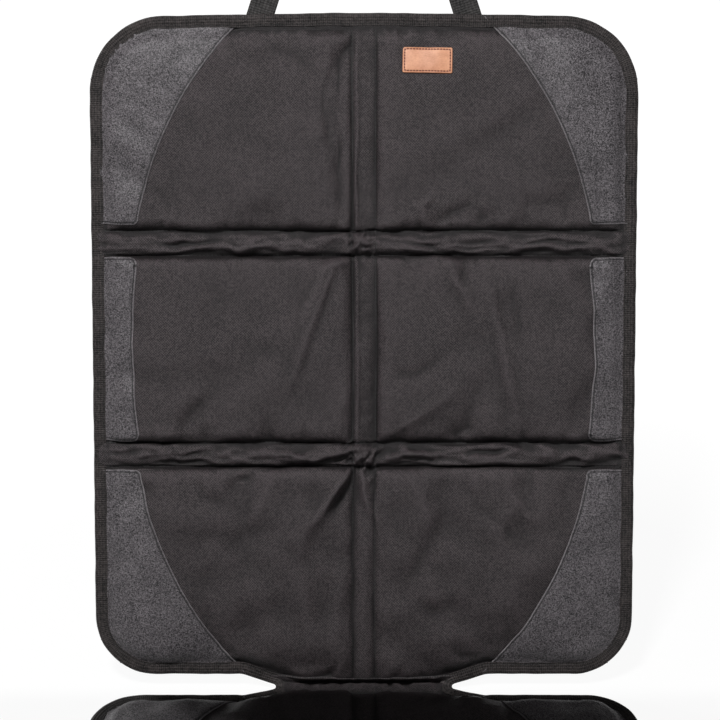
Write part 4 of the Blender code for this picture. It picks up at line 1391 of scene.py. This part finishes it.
def make_strap():
    """Webbing loop with a quarter turn in each leg."""
    route, along = strap_route()
    ahead = np.gradient(route, axis=0)
    ahead /= np.linalg.norm(ahead, axis=1)[:, None]
    lead = STRAP_OVERLAP / math.cos(STRAP_LEAN) + STRAP_TWIST_START
    near_end = np.minimum(along, along[-1] - along)
    done = np.clip((near_end - lead) / STRAP_TWIST_LENGTH, 0, 1)
    turn = math.pi / 2 * done * done * (3 - 2 * done)
    turn = np.where(along < along[-1] / 2, turn, math.pi - turn)
    cos, sin = np.cos(turn), np.sin(turn)
    wide = np.stack([-ahead[:, 1] * cos, ahead[:, 0] * cos, sin], axis=1)
    thin = np.stack([ahead[:, 1] * sin, -ahead[:, 0] * sin, cos], axis=1)
    across = np.linspace(-1, 1, 13)
    swell = np.where(np.abs(across) > 0.86, 0.82, 1.0)
    swell[[0, -1]] = 0.35
    upper = np.stack([WEBBING_HALF * across, WEBBING_THICKNESS / 2 * swell], axis=1)
    section = np.concatenate([upper, upper[::-1] * (1, -1)])
    middle = np.concatenate([route, np.full((len(route), 1), STRAP_HEIGHT)], axis=1)
    points = middle[:, None] + wide[:, None] * section[None, :, :1] + thin[:, None] * section[None, :, 1:]
    faces = grid_faces(len(route), len(section), wrap_columns=True)
    last = (len(route) - 1) * len(section)
    faces.append(tuple(range(len(section))))
    faces.append(tuple(last + k for k in reversed(range(len(section)))))
    pattern = np.stack(np.broadcast_arrays(along[:, None], lengths_along(section)[None, :]), axis=-1)
    look = tape_look("strap_webbing", WEBBING_DARK, WEBBING_LIGHT, 0.0022, 0.0030)
    strap = mesh_object("strap_webbing", fold(points), faces, pattern, look)
    face_outwards(strap)
    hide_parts("headrest_strap")


def make_strap_threads():
    """Sewn box with a cross at each end of the strap, on its rear side."""
    rows = []
    for side in (-1, 1):
        box = []
        for rise, way in STRAP_BOX:
            across = way * (WEBBING_HALF - STRAP_BOX_MARGIN)
            spread = STRAP_HALF_SPREAD - rise * math.tan(STRAP_LEAN) + across * math.cos(STRAP_LEAN)
            box.append((side * spread, BACK_TOP + TOP_ARCH + rise + across * math.sin(STRAP_LEAN)))
        rows += [(line, 0.0) for line in (box + box[:1], (box[0], box[2]), (box[1], box[3]))]
    make_threads("strap_threads", rows, STRAP_STITCH, thread_look("strap_thread", DARK_THREAD),
                 lambda points: laid(points, STRAP_HEIGHT - WEBBING_THICKNESS / 2 - points[:, 2]))


def dress_boards():
    """Foam of the boards, which only an open seam would show."""
    made = new_look("foam_cells")
    cells = made.cells(made.add("TexCoord").outputs["Object"], 900.0)
    look = made.finish(made.mix(cells, FOAM_DARK, FOAM_LIGHT), cells, 0.0003, 0.6, Roughness=0.9)
    for name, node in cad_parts.items():
        if name.startswith("foam_"):
            for slot in node.material_slots:
                slot.material = look


# Stage

CAMERA_ELEVATION = math.radians(25.0)
CAMERA_DISTANCE = 1.75
CAMERA_LENS = 99.0
AIM_ACROSS = -0.0035
AIM_ABOVE_CREASE = 0.297

WORLD_STRENGTH = 0.05
BACKDROP_STRENGTH = 1.06
FLOOR_HALF_SIDE = 6.0
FLOOR_GAP = 0.0004
FLAG_PLACE = (-0.040, -0.011, 0.16)
FLAG_WIDTH = 0.62
FLAG_DEPTH = 0.078
BACK_MIDDLE = (0, 0.2, 0.3)
LAMPS = (                     # name, place, target, size and power
    ("key", (-0.60, -1.15, 2.75), (0.0, 0.25, 0.42), 0.40, 80.0),
    ("front", (0.6, -3.2, 0.9), BACK_MIDDLE, 1.8, 4.0),
    ("side", (2.4, -0.6, 1.3), BACK_MIDDLE, 1.2, 3.0),
    ("rear", (-2.3, 2.0, 1.3), BACK_MIDDLE, 0.7, 55.0),
)


def make_camera():
    """Camera at the photo's angle, aimed at the middle of the back section."""
    data = bpy.data.cameras.new("camera")
    data.lens = CAMERA_LENS
    data.sensor_width = 36.0
    camera = linked("camera", data)
    aim = Vector(fold([AIM_ACROSS, BACK_ZERO + AIM_ABOVE_CREASE, 0.005]))
    away = Vector((0, -math.cos(CAMERA_ELEVATION), math.sin(CAMERA_ELEVATION)))
    camera.location = aim + away * CAMERA_DISTANCE
    camera.rotation_euler = (-away).to_track_quat("-Z", "Y").to_euler()
    bpy.context.scene.camera = camera


def make_lamps():
    """Soft square lamps, mostly from above the front and from behind."""
    for name, place, target, size, power in LAMPS:
        data = bpy.data.lights.new(name, "AREA")
        data.shape = "SQUARE"
        data.size = size
        data.energy = power
        lamp = linked(name, data)
        lamp.location = place
        lamp.rotation_euler = (Vector(target) - Vector(place)).to_track_quat("-Z", "Y").to_euler()


def stage_sheet(name, half_side, place, look):
    """Level square of the stage."""
    bm = bmesh.new()
    bmesh.ops.create_grid(bm, x_segments=1, y_segments=1, size=half_side)
    mesh = bpy.data.meshes.new(name)
    bm.to_mesh(mesh)
    bm.free()
    mesh.materials.append(look)
    sheet = linked(name, mesh)
    sheet.location = place
    return sheet


def make_flag():
    """Black card out of the camera's sight that keeps the key light off the seat next to the crease."""
    made = new_look("flag_card")
    made.shader.inputs["Base Color"].default_value = (*FLAG_BLACK, 1)
    flag = stage_sheet("flag", 0.5, FLAG_PLACE, made.owner)
    flag.scale = (FLAG_WIDTH, FLAG_DEPTH, 1.0)
    flag.visible_camera = False


def make_floor():
    """Pale floor that turns white away from the object, where only the camera sees it."""
    made = new_look("floor")
    path = made.add("LightPath").outputs
    seen = made.math("MAXIMUM", path["Is Camera Ray"], path["Is Glossy Ray"])
    seen = made.math("MAXIMUM", seen, path["Is Transmission Ray"])
    where = made.add("NewGeometry").outputs["Position"]
    away = made.add("VectorMath", {0: where}, operation="LENGTH").outputs["Value"]
    share = made.math("MULTIPLY", seen, made.span(away, 0.5, 1.0, 0.88, 1.0))
    made.finish(made.mix(made.noise(where, 60.0), FLOOR_DARK, FLOOR_LIGHT), Roughness=0.9)
    white = made.add("Emission", {"Color": (1, 1, 1, 1), "Strength": BACKDROP_STRENGTH}).outputs[0]
    blend = made.add("MixShader", {0: share, 1: made.shader.outputs[0], 2: white}).outputs[0]
    made.tree.links.new(blend, made.tree.nodes["Material Output"].inputs["Surface"])
    floor = stage_sheet("floor", FLOOR_HALF_SIDE, (0, 0, -FLOOR_GAP), made.owner)


def make_backdrop():
    """World that the camera sees white and that lights the object only a little."""
    sky = Nodes(bpy.data.worlds.new("studio"))
    bpy.context.scene.world = sky.owner
    path = sky.add("LightPath").outputs
    seen = sky.math("MAXIMUM", path["Is Camera Ray"], path["Is Transmission Ray"])
    background = sky.tree.nodes["Background"].inputs
    background["Color"].default_value = (1, 1, 1, 1)
    sky.tree.links.new(sky.span(seen, 0.0, 1.0, WORLD_STRENGTH, 1.0), background["Strength"])


bpy.context.scene.view_settings.view_transform = "Standard"
make_camera()
us, vs, settled, inside = cover_grid()
settled = swelled_cover()
make_cover()
make_backing()
make_patches()
make_quilt_threads()
make_label()
make_tape()
make_strap()
make_strap_threads()
dress_boards()
make_floor()
make_flag()
make_backdrop()
make_lamps()
